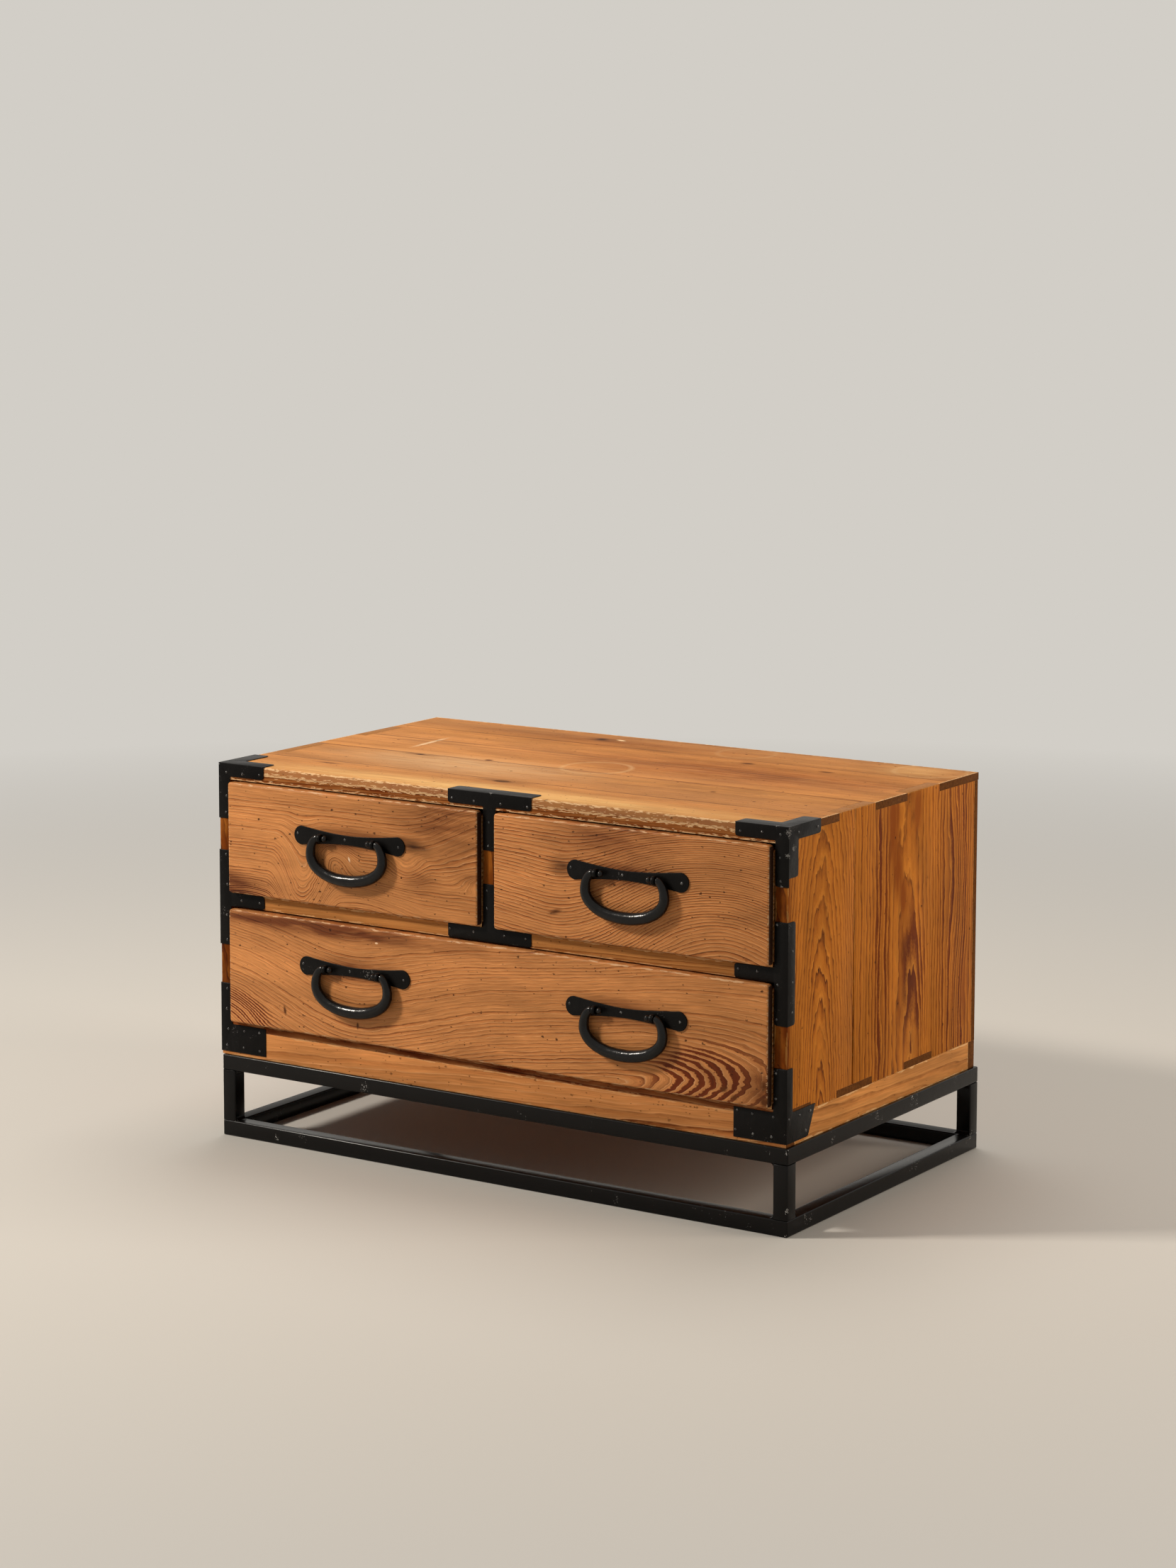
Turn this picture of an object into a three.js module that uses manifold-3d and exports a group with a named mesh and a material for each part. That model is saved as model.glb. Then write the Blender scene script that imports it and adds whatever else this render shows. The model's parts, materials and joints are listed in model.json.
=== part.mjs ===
// A softwood chest with two upper drawers over one long drawer, bound in black iron,
// on a low stand welded from square steel tube.
// Lengths are in millimetres. X runs to the right along the front, Y to the back, Z up.
// The case is drawn about its own middle in X, with its wooden front at Y zero and the floor at Z zero.
// The last lines move it all, so that the origin is the middle of the whole object's footprint.
import * as THREE from 'three';
import { mergeVertices } from 'three/addons/utils/BufferGeometryUtils.js';
import Module from 'manifold-3d';

const wasm = await Module();
wasm.setup();

// Case
const caseWidth = 788;
const caseDepth = 444;
const caseHeight = 355.5;
const sideThickness = 16;
const topThickness = 9;
const topOverhang = 2;
const topEdgeRound = 2.5;
const bottomThickness = 8.5;
const backThickness = 8;
const lowerOpeningExtra = 4.3;

// Rails, shelf and divider inside the case
const railDepth = 30;
const topRailHeight = 9.5;
const midRailHeight = 16.3;
const shelfThickness = 7;
const housingDepth = 6;
const dividerThickness = 17;

// Plinth under the case
const plinthHeight = 32.5;
const plinthThickness = 18;
const plinthBackThickness = 15;

// Where the fingers of the joints change over, along the depth of the case
const topFingerShares = [0, 0.251, 0.438, 0.607, 0.784, 1];
const bottomFingerShares = [0, 0.12, 0.251, 0.434, 0.604, 0.758, 1];

// The side boards meet at this share of the depth; on the right a crack has opened from the bottom up
const sideJointShare = 0.332;
const crackWidth = 3.5;
const crackHeight = 225;

// Drawers
const frontProud = 9;
const frontThickness = 20;
const frontRound = 2.5;
const frontCornerRound = 4;
const frontTopGap = 1.8;
const frontFootGap = 2;
const drawerSideGap = 2.75;
const drawerRunGap = 0.3;
const spaceBehindDrawers = 26;
const drawerSideThickness = 10;
const drawerSideDrop = 7;
const drawerBackThickness = 9;
const drawerBottomThickness = 6;
const drawerFingerShares = [0, 0.34, 0.66, 1];

// Irons
const ironThickness = 1;
const ironRound = 4;
const ironInnerRound = 2;
const cornerArm = 67;
const topIronArmWidth = 16;
const topIronLeg = 66;
const topIronCover = 22;
const topIronSideArm = 69;
const topIronSideLeg = 56;
const topIronSideWidth = 20;
const teeHalfArm = 58;
const teeStem = 51.2;
const midIronReachUp = 51.5;
const midIronReachDown = 47.5;
const midIronSideWidth = 15;
const bottomIronFoot = 4;
const bottomIronHeight = 34;
const bottomIronLeg = 50;
const bottomIronSideWidth = 12;
const bottomIronSideArm = 62;
const bottomIronSlant = 16;

// Handles
const handleAboveMiddle = 14.4;
const lowerHandleInset = 4;
const lowerHandleShift = 2.5;
const plateLength = 161;
const plateEndWidth = 22.5;
const plateWaist = 10.8;
const plateThickness = 1.5;
const postSpacing = 77;
const pivotReach = 7;
const eyeRadius = 2.9;
const eyeWall = 2.4;
const eyeWidth = 5;
const postRadius = 2.4;
const postClearance = 0.4;
const bailEyeRadius = 2.4;
const bailShoulderRadius = 4.2;
const bailMiddleRadius = 7.4;
const bailFlatShare = 0.88;
const bailHalfWidth = 52.3;
const bailDrop = 47;
const bailShoulder = 2;
const bailTipRadius = 3.6;
const bailTipGap = 0.5;
const bailWidestShare = 0.41;
const bailCornerShare = 0.65;
const bailBottomShare = 0.58;

// Stand
const standWider = 2;
const standBehind = 4;
const standHeight = 100;
const standAhead = 3;
const standShift = 3;
const tubeSize = 19;
const tubeWall = 1.6;
const tubeRound = 2.5;

// Facets and cuts
const cornerSteps = 3;
const roundSteps = 3;
const arcSteps = 6;
const ringSteps = 12;
const ringSectionSteps = 6;
const bailSides = 12;
const bailSteps = 20;
const overrun = 5;

// Levels and places that follow from these sizes
const boardHeights = plinthHeight + bottomThickness + midRailHeight + topRailHeight + topThickness;
const openingHeights = caseHeight - boardHeights;
const lowerOpeningHeight = (openingHeights + lowerOpeningExtra) / 2;
const upperOpeningHeight = (openingHeights - lowerOpeningExtra) / 2;
const sideX = caseWidth / 2;
const innerX = sideX - sideThickness;
const housingX = innerX + housingDepth;
const plinthTop = standHeight + plinthHeight;
const floorTop = plinthTop + bottomThickness;
const midRailBottom = floorTop + lowerOpeningHeight;
const midRailTop = midRailBottom + midRailHeight;
const topRailBottom = midRailTop + upperOpeningHeight;
const topBottom = topRailBottom + topRailHeight;
const caseTop = topBottom + topThickness;
const backFront = caseDepth - backThickness;
const drawerDepth = backFront - spaceBehindDrawers;
const sideJoint = sideJointShare * caseDepth;
const standWidth = caseWidth + standWider;
const standDepth = standAhead + caseDepth + standBehind;
const pivotY = -frontProud - pivotReach;
const bailTipX = postSpacing / 2 - eyeWidth / 2 - bailTipGap - bailTipRadius;
const bailShoulderX = postSpacing / 2 + eyeWidth / 2 + bailTipGap;

// Finishes, from the photograph
const frontWood = { color: 0xa06c46, roughness: 0.62, metalness: 0 };
const sideWood = { color: 0xa36a33, roughness: 0.58, metalness: 0 };
const caseWood = { color: 0xb98f5e, roughness: 0.6, metalness: 0 };
const innerWood = { color: 0xb5936a, roughness: 0.75, metalness: 0 };
const blackIron = { color: 0x1d1b1b, roughness: 0.42, metalness: 0.6 };
const blackSteel = { color: 0x141414, roughness: 0.38, metalness: 0.5 };

// A piece drawn on the right of the chest; side -1 makes it the mirror image on the left
function mesh(name, geometry, finish, side = 1) {
  geometry.computeVertexNormals();
  const piece = new THREE.Mesh(geometry, new THREE.MeshStandardMaterial(finish));
  piece.name = name;
  piece.scale.x = side;
  return piece;
}

// A closed geometry as a solid that can be joined and cut, and back
function solidOf(geometry) {
  const bare = geometry.clone();
  bare.deleteAttribute('normal');
  bare.deleteAttribute('uv');
  const merged = mergeVertices(bare);
  const vertProperties = new Float32Array(merged.attributes.position.array);
  const triVerts = new Uint32Array(merged.index.array);
  return new wasm.Manifold(new wasm.Mesh({ numProp: 3, vertProperties, triVerts }));
}

function geometryOf(solid) {
  const { vertProperties, triVerts } = solid.getMesh();
  const geometry = new THREE.BufferGeometry();
  geometry.setAttribute('position', new THREE.BufferAttribute(vertProperties, 3));
  geometry.setIndex(new THREE.BufferAttribute(triVerts, 1));
  return geometry;
}

const joined = (...parts) => parts.reduce((whole, part) => whole.add(part));

// An outline of corners, each given as [across, up, radius]; a corner with a radius is rounded
function outline(corners) {
  const shape = new THREE.Shape();
  const cornerAt = (index) => new THREE.Vector2(...corners.at(index % corners.length));
  corners.forEach(([across, up, radius = 0], index) => {
    const corner = cornerAt(index);
    const leave = (other) => other.clone().sub(corner).setLength(radius).add(corner);
    const start = leave(cornerAt(index - 1));
    const end = leave(cornerAt(index + 1));
    if (index === 0) shape.moveTo(start.x, start.y);
    else shape.lineTo(start.x, start.y);
    if (radius > 0) shape.quadraticCurveTo(across, up, end.x, end.y);
  });
  return shape;
}

const rectangle = (left, low, right, high, radius = 0) =>
  outline([[left, low, radius], [right, low, radius], [right, high, radius], [left, high, radius]]);

// A flat piece with an outline, from one level to another.
// 'flat' lies in X and Y, 'side' stands in Y and Z, 'front' stands in X and Z.
function plate(shape, plane, low, high, steps = cornerSteps) {
  const geometry = new THREE.ExtrudeGeometry(shape, { depth: 1, bevelEnabled: false, curveSegments: steps });
  const position = geometry.attributes.position;
  for (let i = 0; i < position.count; i += 1) {
    const across = position.getX(i);
    const up = position.getY(i);
    const far = position.getZ(i) > 0;
    if (plane === 'flat') position.setXYZ(i, across, up, far ? high : low);
    if (plane === 'side') position.setXYZ(i, far ? high : low, across, up);
    if (plane === 'front') position.setXYZ(i, across, far ? low : high, up);
  }
  return geometry;
}

const block = (x, y, z) => plate(rectangle(x[0], y[0], x[1], y[1]), 'flat', z[0], z[1]);

// The stepped edge of a finger joint between two places: one level on the even
// stretches between the cuts, another on the odd ones
function fingerEdge(cuts, from, to, evenLevel, oddLevel) {
  const points = [];
  for (let i = 0; i + 1 < cuts.length; i += 1) {
    const start = Math.max(cuts[i], from);
    const end = Math.min(cuts[i + 1], to);
    const level = i % 2 === 0 ? evenLevel : oddLevel;
    if (end > start) points.push([start, level], [end, level]);
  }
  return points;
}

const topCuts = topFingerShares.map((share) => share * caseDepth);
const bottomCuts = bottomFingerShares.map((share) => share * caseDepth);
const mirrored = (points) => points.map(([place, level]) => [-level, place]);
const turned = (points) => points.map(([place, level]) => [level, place]);

// The boards of the case that lie flat, with fingers at both ends
function fingeredBoard(cuts, back) {
  const edge = fingerEdge(cuts, 0, back, sideX, innerX);
  return outline([...turned(edge), ...mirrored(edge).reverse()]);
}

// The top's front edge is worn round
function roundedTopEdge() {
  const shape = new THREE.Shape();
  shape.moveTo(-overrun, caseTop + overrun);
  shape.lineTo(-overrun, caseTop - topEdgeRound);
  shape.lineTo(0, caseTop - topEdgeRound);
  shape.absarc(topEdgeRound, caseTop - topEdgeRound, topEdgeRound, Math.PI, Math.PI / 2, true);
  shape.lineTo(topEdgeRound, caseTop + overrun);
  return solidOf(plate(shape, 'side', -sideX - overrun, sideX + overrun, roundSteps));
}

function topBoard() {
  const cuts = [...topCuts.slice(0, -1), caseDepth + topOverhang];
  const board = solidOf(plate(fingeredBoard(cuts, caseDepth + topOverhang), 'flat', topBottom, caseTop));
  return mesh('top_board', geometryOf(board.subtract(roundedTopEdge())), caseWood);
}

function bottomBoard() {
  const shape = fingeredBoard(bottomCuts, backFront);
  return mesh('bottom_board', plate(shape, 'flat', plinthTop, floorTop), innerWood);
}

// The grooves in the sides for the mid rail and the shelf
function housings() {
  const x = [innerX - overrun, housingX];
  const rail = block(x, [-overrun, railDepth], [midRailBottom, midRailTop]);
  const shelfY = [railDepth - overrun, backFront + overrun];
  const shelf = block(x, shelfY, [midRailTop - shelfThickness, midRailTop]);
  return joined(solidOf(rail), solidOf(shelf));
}

// One board of a side, with its fingers, its grooves and its half of the crack
function sideBoard(name, side, from, to, crack) {
  const low = fingerEdge(bottomCuts, from, to, floorTop, plinthTop);
  const high = fingerEdge(topCuts, from, to, topBottom, caseTop);
  const isFront = from < sideJoint;
  const crackEdge = [sideJoint, floorTop + crackHeight];
  const half = isFront ? -crack / 2 : crack / 2;
  const opened = ([y, z]) => (y === sideJoint ? [y + half, z] : [y, z]);
  const points = isFront
    ? [...low.map(opened), crackEdge, ...high.reverse()]
    : [...low.map(opened), ...high.reverse(), crackEdge];
  const board = solidOf(plate(outline(points), 'side', innerX, sideX)).subtract(housings());
  return mesh(name, geometryOf(board), sideWood, side);
}

function backPanel() {
  const geometry = block([-sideX, sideX], [backFront, caseDepth], [plinthTop, topBottom]);
  return mesh('back_panel', geometry, innerWood);
}

function divider() {
  const shape = outline([
    [0, midRailTop],
    [backFront, midRailTop],
    [backFront, topBottom],
    [railDepth, topBottom],
    [railDepth, topRailBottom],
    [0, topRailBottom],
  ]);
  return mesh('divider', plate(shape, 'side', -dividerThickness / 2, dividerThickness / 2), sideWood);
}

function rails() {
  return [
    mesh('top_rail', block([-innerX, innerX], [0, railDepth], [topRailBottom, topBottom]), caseWood),
    mesh('mid_rail', block([-housingX, housingX], [0, railDepth], [midRailBottom, midRailTop]), caseWood),
    mesh(
      'shelf',
      block([-housingX, housingX], [railDepth, backFront], [midRailTop - shelfThickness, midRailTop]),
      innerWood,
    ),
  ];
}

function plinth() {
  const z = [standHeight, plinthTop];
  const sideInner = sideX - plinthThickness;
  const backEdge = caseDepth - plinthBackThickness;
  return [
    mesh('plinth_front', block([-sideX, sideX], [0, plinthThickness], z), caseWood),
    mesh('plinth_left', block([-sideX, -sideInner], [plinthThickness, backEdge], z), caseWood),
    mesh('plinth_right', block([sideInner, sideX], [plinthThickness, backEdge], z), caseWood),
    mesh('plinth_back', block([-sideX, sideX], [backEdge, caseDepth], z), caseWood),
  ];
}

function caseBoards() {
  return [
    topBoard(),
    ...rails(),
    sideBoard('left_side_front_board', -1, 0, sideJoint, 0),
    sideBoard('left_side_rear_board', -1, sideJoint, backFront, 0),
    sideBoard('right_side_front_board', 1, 0, sideJoint, crackWidth),
    sideBoard('right_side_rear_board', 1, sideJoint, backFront, crackWidth),
    bottomBoard(),
    backPanel(),
    divider(),
    ...plinth(),
  ];
}

// The irons are drawn on the right; the left ones are their mirror images
const ironX = sideX + ironThickness;
const ironTop = caseTop + ironThickness;
const ironFront = [-ironThickness, 0];
const topArmBottom = ironTop - topIronArmWidth;

function ironMesh(name, plates, side = 1) {
  return mesh(name, geometryOf(joined(...plates.map(solidOf))), blackIron, side);
}

function topCornerIron(name, side) {
  const front = outline([
    [ironX, ironTop],
    [sideX - cornerArm, ironTop],
    [sideX - cornerArm, topArmBottom, ironRound],
    [innerX, topArmBottom, ironInnerRound],
    [innerX, caseTop - topIronLeg, ironRound],
    [ironX, caseTop - topIronLeg],
  ]);
  const top = outline([
    [ironX, -ironThickness],
    [ironX, topIronSideArm],
    [ironX - topIronCover, topIronSideArm, ironRound],
    [ironX - topIronCover, topIronCover, ironInnerRound],
    [sideX - cornerArm, topIronCover, ironRound],
    [sideX - cornerArm, -ironThickness],
  ]);
  const edge = outline([
    [-ironThickness, ironTop],
    [-ironThickness, caseTop - topIronSideLeg],
    [topIronSideWidth, caseTop - topIronSideLeg, ironRound],
    [topIronSideWidth, topArmBottom, ironInnerRound],
    [topIronSideArm, topArmBottom, ironRound],
    [topIronSideArm, ironTop],
  ]);
  const plates = [
    plate(front, 'front', ...ironFront),
    plate(top, 'flat', caseTop, ironTop),
    plate(edge, 'side', sideX, ironX),
  ];
  return ironMesh(name, plates, side);
}

function topCentreIron() {
  const half = dividerThickness / 2;
  const front = outline([
    [-teeHalfArm, ironTop],
    [-teeHalfArm, topArmBottom, ironRound],
    [-half, topArmBottom, ironInnerRound],
    [-half, caseTop - topIronLeg],
    [half, caseTop - topIronLeg],
    [half, topArmBottom, ironInnerRound],
    [teeHalfArm, topArmBottom, ironRound],
    [teeHalfArm, ironTop],
  ]);
  const top = outline([
    [-teeHalfArm, -ironThickness],
    [teeHalfArm, -ironThickness],
    [teeHalfArm, topIronCover, ironRound],
    [-teeHalfArm, topIronCover, ironRound],
  ]);
  const plates = [plate(front, 'front', ...ironFront), plate(top, 'flat', caseTop, ironTop)];
  return ironMesh('iron_top_centre', plates);
}

function midCentreIron() {
  const half = dividerThickness / 2;
  const front = outline([
    [-teeHalfArm, midRailBottom, ironRound],
    [teeHalfArm, midRailBottom, ironRound],
    [teeHalfArm, midRailTop],
    [half, midRailTop],
    [half, midRailTop + teeStem],
    [-half, midRailTop + teeStem],
    [-half, midRailTop],
    [-teeHalfArm, midRailTop],
  ]);
  return ironMesh('iron_mid_centre', [plate(front, 'front', ...ironFront)]);
}

function midSideIron(name, side) {
  const low = midRailBottom - midIronReachDown;
  const high = midRailTop + midIronReachUp;
  const front = outline([
    [ironX, low],
    [ironX, high],
    [innerX, high],
    [innerX, midRailTop, ironInnerRound],
    [sideX - cornerArm, midRailTop, ironRound],
    [sideX - cornerArm, midRailBottom, ironRound],
    [innerX, midRailBottom, ironInnerRound],
    [innerX, low, ironRound],
  ]);
  const edge = outline([
    [-ironThickness, low],
    [midIronSideWidth, low, ironRound],
    [midIronSideWidth, high, ironRound],
    [-ironThickness, high],
  ]);
  return ironMesh(name, [plate(front, 'front', ...ironFront), plate(edge, 'side', sideX, ironX)], side);
}

function bottomCornerIron(name, side) {
  const low = standHeight + bottomIronFoot;
  const high = low + bottomIronHeight;
  const front = outline([
    [ironX, low],
    [ironX, high + bottomIronLeg],
    [innerX, high + bottomIronLeg],
    [innerX, high, ironInnerRound],
    [sideX - cornerArm, high],
    [sideX - cornerArm, low],
  ]);
  const edge = outline([
    [-ironThickness, low],
    [bottomIronSideArm - bottomIronSlant, low, ironInnerRound],
    [bottomIronSideArm, high],
    [bottomIronSideWidth, high, ironInnerRound],
    [bottomIronSideWidth, high + bottomIronLeg, ironInnerRound],
    [-ironThickness, high + bottomIronLeg],
  ]);
  return ironMesh(name, [plate(front, 'front', ...ironFront), plate(edge, 'side', sideX, ironX)], side);
}

function irons() {
  return [
    topCornerIron('iron_top_left', -1),
    topCentreIron(),
    topCornerIron('iron_top_right', 1),
    midSideIron('iron_mid_left', -1),
    midCentreIron(),
    midSideIron('iron_mid_right', 1),
    bottomCornerIron('iron_bottom_left', -1),
    bottomCornerIron('iron_bottom_right', 1),
  ];
}

// A handle's plate, drawn in by a waist between two round ends
function plateShape() {
  const endRadius = plateEndWidth / 2;
  const endX = plateLength / 2 - endRadius;
  const shape = new THREE.Shape();
  shape.absarc(-endX, 0, endRadius, Math.PI / 2, -Math.PI / 2, false);
  shape.quadraticCurveTo(-endX / 2, -plateWaist / 2, 0, -plateWaist / 2);
  shape.quadraticCurveTo(endX / 2, -plateWaist / 2, endX, -endRadius);
  shape.absarc(endX, 0, endRadius, -Math.PI / 2, Math.PI / 2, false);
  shape.quadraticCurveTo(endX / 2, plateWaist / 2, 0, plateWaist / 2);
  shape.quadraticCurveTo(-endX / 2, plateWaist / 2, -endX, endRadius);
  return shape;
}

// The eye that a bail's end turns in: a thick ring on a short post, its hole along X
function eyePost(x) {
  const middle = eyeRadius + eyeWall / 2;
  const section = [];
  for (let i = 0; i <= ringSectionSteps; i += 1) {
    const angle = (2 * Math.PI * (i % ringSectionSteps)) / ringSectionSteps;
    const out = middle + (eyeWall / 2) * Math.cos(angle);
    section.push(new THREE.Vector2(out, (eyeWidth / 2) * Math.sin(angle)));
  }
  const ring = new THREE.LatheGeometry(section, ringSteps).rotateZ(Math.PI / 2).translate(x, -pivotReach, 0);
  const reach = pivotReach - eyeRadius - postClearance;
  const post = new THREE.CylinderGeometry(postRadius, postRadius, reach, ringSteps);
  return joined(solidOf(ring), solidOf(post.translate(x, -reach / 2, 0)));
}

function handlePlate(name) {
  const flat = solidOf(plate(plateShape(), 'front', -plateThickness, 0, arcSteps));
  const eyes = [-postSpacing / 2, postSpacing / 2].map(eyePost);
  return mesh(name, geometryOf(joined(flat, ...eyes)), blackIron);
}

// The middle line of the left half of a bail, from inside its eye to the middle of its grip
function bailHalfLine() {
  const at = (x, z) => new THREE.Vector3(x, 0, z);
  const widest = -bailDrop * bailWidestShare;
  const bend = bailHalfWidth - bailShoulderX;
  const fall = bailDrop + widest;
  const line = new THREE.CurvePath();
  line.add(new THREE.LineCurve3(at(-bailTipX, 0), at(-bailShoulderX, 0)));
  line.add(
    new THREE.CubicBezierCurve3(
      at(-bailShoulderX, 0),
      at(-bailShoulderX - bend * bailCornerShare, 0),
      at(-bailHalfWidth, widest * (1 - bailCornerShare)),
      at(-bailHalfWidth, widest),
    ),
  );
  line.add(
    new THREE.CubicBezierCurve3(
      at(-bailHalfWidth, widest),
      at(-bailHalfWidth, widest - fall * bailBottomShare),
      at(-bailHalfWidth * bailBottomShare, -bailDrop),
      at(0, -bailDrop),
    ),
  );
  return line;
}

// One ring of points square to the line, a little flat from front to back
function barRing(line, share, radius) {
  const at = line.getPoint(share);
  const along = line.getTangent(share);
  const ring = [];
  for (let i = 0; i < bailSides; i += 1) {
    const angle = (2 * Math.PI * i) / bailSides;
    const out = radius * Math.cos(angle);
    ring.push([at.x - along.z * out, bailFlatShare * radius * Math.sin(angle), at.z + along.x * out]);
  }
  return ring;
}

// A bar through rings of points, closed by a flat fan at each end
function bar(rings) {
  const points = rings.flat();
  const sides = rings[0].length;
  const faces = [];
  for (let ring = 0; ring + 1 < rings.length; ring += 1) {
    for (let i = 0; i < sides; i += 1) {
      const here = ring * sides + i;
      const next = ring * sides + ((i + 1) % sides);
      faces.push([here, here + sides, next], [next, here + sides, next + sides]);
    }
  }
  const last = points.length - sides;
  for (let i = 1; i + 1 < sides; i += 1) {
    faces.push([0, i, i + 1], [last, last + i + 1, last + i]);
  }
  const geometry = new THREE.BufferGeometry();
  geometry.setAttribute('position', new THREE.Float32BufferAttribute(points.flat(), 3));
  geometry.setIndex(faces.flat());
  return geometry;
}

// The bail thickens from its shoulders to the middle of its grip, and ends in a ball inside each eye
function bail(name) {
  const line = bailHalfLine();
  const length = line.getLength();
  const shoulder = (bailShoulderX - bailTipX) / length;
  const full = shoulder + bailShoulder / length;
  const half = [barRing(line, 0, bailEyeRadius), barRing(line, shoulder, bailEyeRadius)];
  for (let step = 0; step <= bailSteps; step += 1) {
    const done = step / bailSteps;
    const swell = (bailMiddleRadius - bailShoulderRadius) * Math.sin((Math.PI / 2) * done);
    const radius = bailShoulderRadius + swell;
    half.push(barRing(line, full + (1 - full) * done, radius));
  }
  const rightHalf = half.slice(0, -1).reverse();
  const rings = [...half, ...rightHalf.map((ring) => ring.map(([x, y, z]) => [-x, y, z]))];
  const tips = [-bailTipX, bailTipX].map((x) =>
    solidOf(new THREE.SphereGeometry(bailTipRadius, bailSides, bailSides / 2).translate(x, 0, 0)),
  );
  const piece = mesh(name, geometryOf(joined(solidOf(bar(rings)), ...tips)), blackIron);
  piece.position.y = -pivotReach;
  return piece;
}

function handle(name, x, z) {
  const group = new THREE.Group();
  group.add(handlePlate(`${name}_plate`), bail(`${name}_bail`));
  group.position.set(x, -frontProud, z);
  return group;
}

// A drawer front: rounded at its face, rebated behind for the sides and the bottom
function drawerFront(name, halfWidth, low, high) {
  const bevel = { bevelSize: frontRound, bevelOffset: -frontRound, bevelThickness: frontRound };
  const slab = new THREE.ExtrudeGeometry(rectangle(-halfWidth, low, halfWidth, high, frontCornerRound), {
    ...bevel,
    bevelSegments: roundSteps,
    curveSegments: cornerSteps,
    depth: frontThickness + overrun,
  });
  slab.rotateX(Math.PI / 2).translate(0, frontThickness + overrun + frontRound - frontProud, 0);
  const behind = frontThickness - frontProud;
  const x = [-halfWidth - overrun, halfWidth + overrun];
  const trim = block(x, [behind, behind + frontThickness + 2 * overrun], [low - overrun, high + overrun]);
  const seatTop = drawerRunGap + drawerBottomThickness;
  const seat = block(x, [0, behind + overrun], [low - overrun, seatTop]);
  const laps = [-1, 1].map((side) => {
    const outer = side * (halfWidth + overrun);
    const inner = side * (halfWidth - drawerSideThickness);
    const span = [Math.min(outer, inner), Math.max(outer, inner)];
    return solidOf(block(span, [0, behind + overrun], [low - overrun, high + overrun]));
  });
  const cuts = joined(solidOf(trim), solidOf(seat), ...laps);
  return mesh(`${name}_front`, geometryOf(solidOf(slab).subtract(cuts)), frontWood);
}

// A drawer between two places in its opening, standing on the opening's floor
function drawer(name, left, right, floor, openingHeight, handles) {
  const halfWidth = (right - left) / 2 - drawerSideGap;
  const high = openingHeight - frontTopGap;
  const base = drawerRunGap + drawerBottomThickness;
  const sideTop = high - drawerSideDrop;
  const innerHalf = halfWidth - drawerSideThickness;
  const cuts = drawerFingerShares.map((share) => base + share * (sideTop - base));
  const backFace = drawerDepth - drawerBackThickness;
  const sideEnd = fingerEdge(cuts, base, sideTop, drawerDepth, backFace);
  const sideShape = outline([[0, sideTop], [0, base], ...turned(sideEnd)]);
  const backEnd = fingerEdge(cuts, base, sideTop, innerHalf, halfWidth);
  const backShape = outline([...turned(backEnd), ...mirrored(backEnd).reverse()]);
  const sideBlank = () => plate(sideShape, 'side', innerHalf, halfWidth);
  const bottomBlank = block([-halfWidth, halfWidth], [0, drawerDepth], [drawerRunGap, base]);
  const group = new THREE.Group();
  group.add(
    drawerFront(`${name}_drawer`, halfWidth, frontFootGap, high),
    mesh(`${name}_drawer_left_side`, sideBlank(), innerWood, -1),
    mesh(`${name}_drawer_right_side`, sideBlank(), innerWood),
    mesh(`${name}_drawer_back`, plate(backShape, 'front', backFace, drawerDepth), innerWood),
    mesh(`${name}_drawer_bottom`, bottomBlank, innerWood),
  );
  const handleZ = (frontFootGap + high) / 2 + handleAboveMiddle;
  handles.forEach(([handleName, x]) => group.add(handle(handleName, x, handleZ)));
  group.position.set((left + right) / 2, 0, floor);
  return group;
}

function drawers() {
  const half = dividerThickness / 2;
  const lowerHandleX = (half + innerX) / 2 - lowerHandleInset;
  return [
    drawer('upper_left', -innerX, -half, midRailTop, upperOpeningHeight, [['upper_left_handle', 0]]),
    drawer('upper_right', half, innerX, midRailTop, upperOpeningHeight, [['upper_right_handle', 0]]),
    drawer('lower', -innerX, innerX, floorTop, lowerOpeningHeight, [
      ['lower_left_handle', lowerHandleShift - lowerHandleX],
      ['lower_right_handle', lowerHandleShift + lowerHandleX],
    ]),
  ];
}

// The tube's section about its middle
function tubeSection() {
  const outer = tubeSize / 2;
  const inner = outer - tubeWall;
  const section = rectangle(-outer, -outer, outer, outer, tubeRound);
  section.holes.push(rectangle(-inner, -inner, inner, inner, tubeRound - tubeWall));
  return section;
}

// The stand's outline seen from above, its corners ground round, through its whole height
function standFootprint() {
  const shape = rectangle(-standWidth / 2, -standDepth / 2, standWidth / 2, standDepth / 2, tubeRound);
  return solidOf(plate(shape, 'flat', -overrun, standHeight + overrun));
}

// A rail with both ends mitred: each point lies in from the end by its distance from the outer face
function mitredRail(name, length, reach, angle, middleZ) {
  const geometry = plate(tubeSection(), 'side', -1, 1);
  const position = geometry.attributes.position;
  for (let i = 0; i < position.count; i += 1) {
    const inset = position.getY(i) + tubeSize / 2;
    position.setX(i, position.getX(i) * (length / 2 - inset));
  }
  geometry.translate(0, tubeSize / 2 - reach, middleZ).rotateZ(angle);
  return mesh(name, geometryOf(solidOf(geometry).intersect(standFootprint())), blackSteel);
}

function standRing(name, middleZ) {
  const quarter = Math.PI / 2;
  return [
    mitredRail(`stand_${name}_front`, standWidth, standDepth / 2, 0, middleZ),
    mitredRail(`stand_${name}_right`, standDepth, standWidth / 2, quarter, middleZ),
    mitredRail(`stand_${name}_back`, standWidth, standDepth / 2, 2 * quarter, middleZ),
    mitredRail(`stand_${name}_left`, standDepth, standWidth / 2, 3 * quarter, middleZ),
  ];
}

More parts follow.
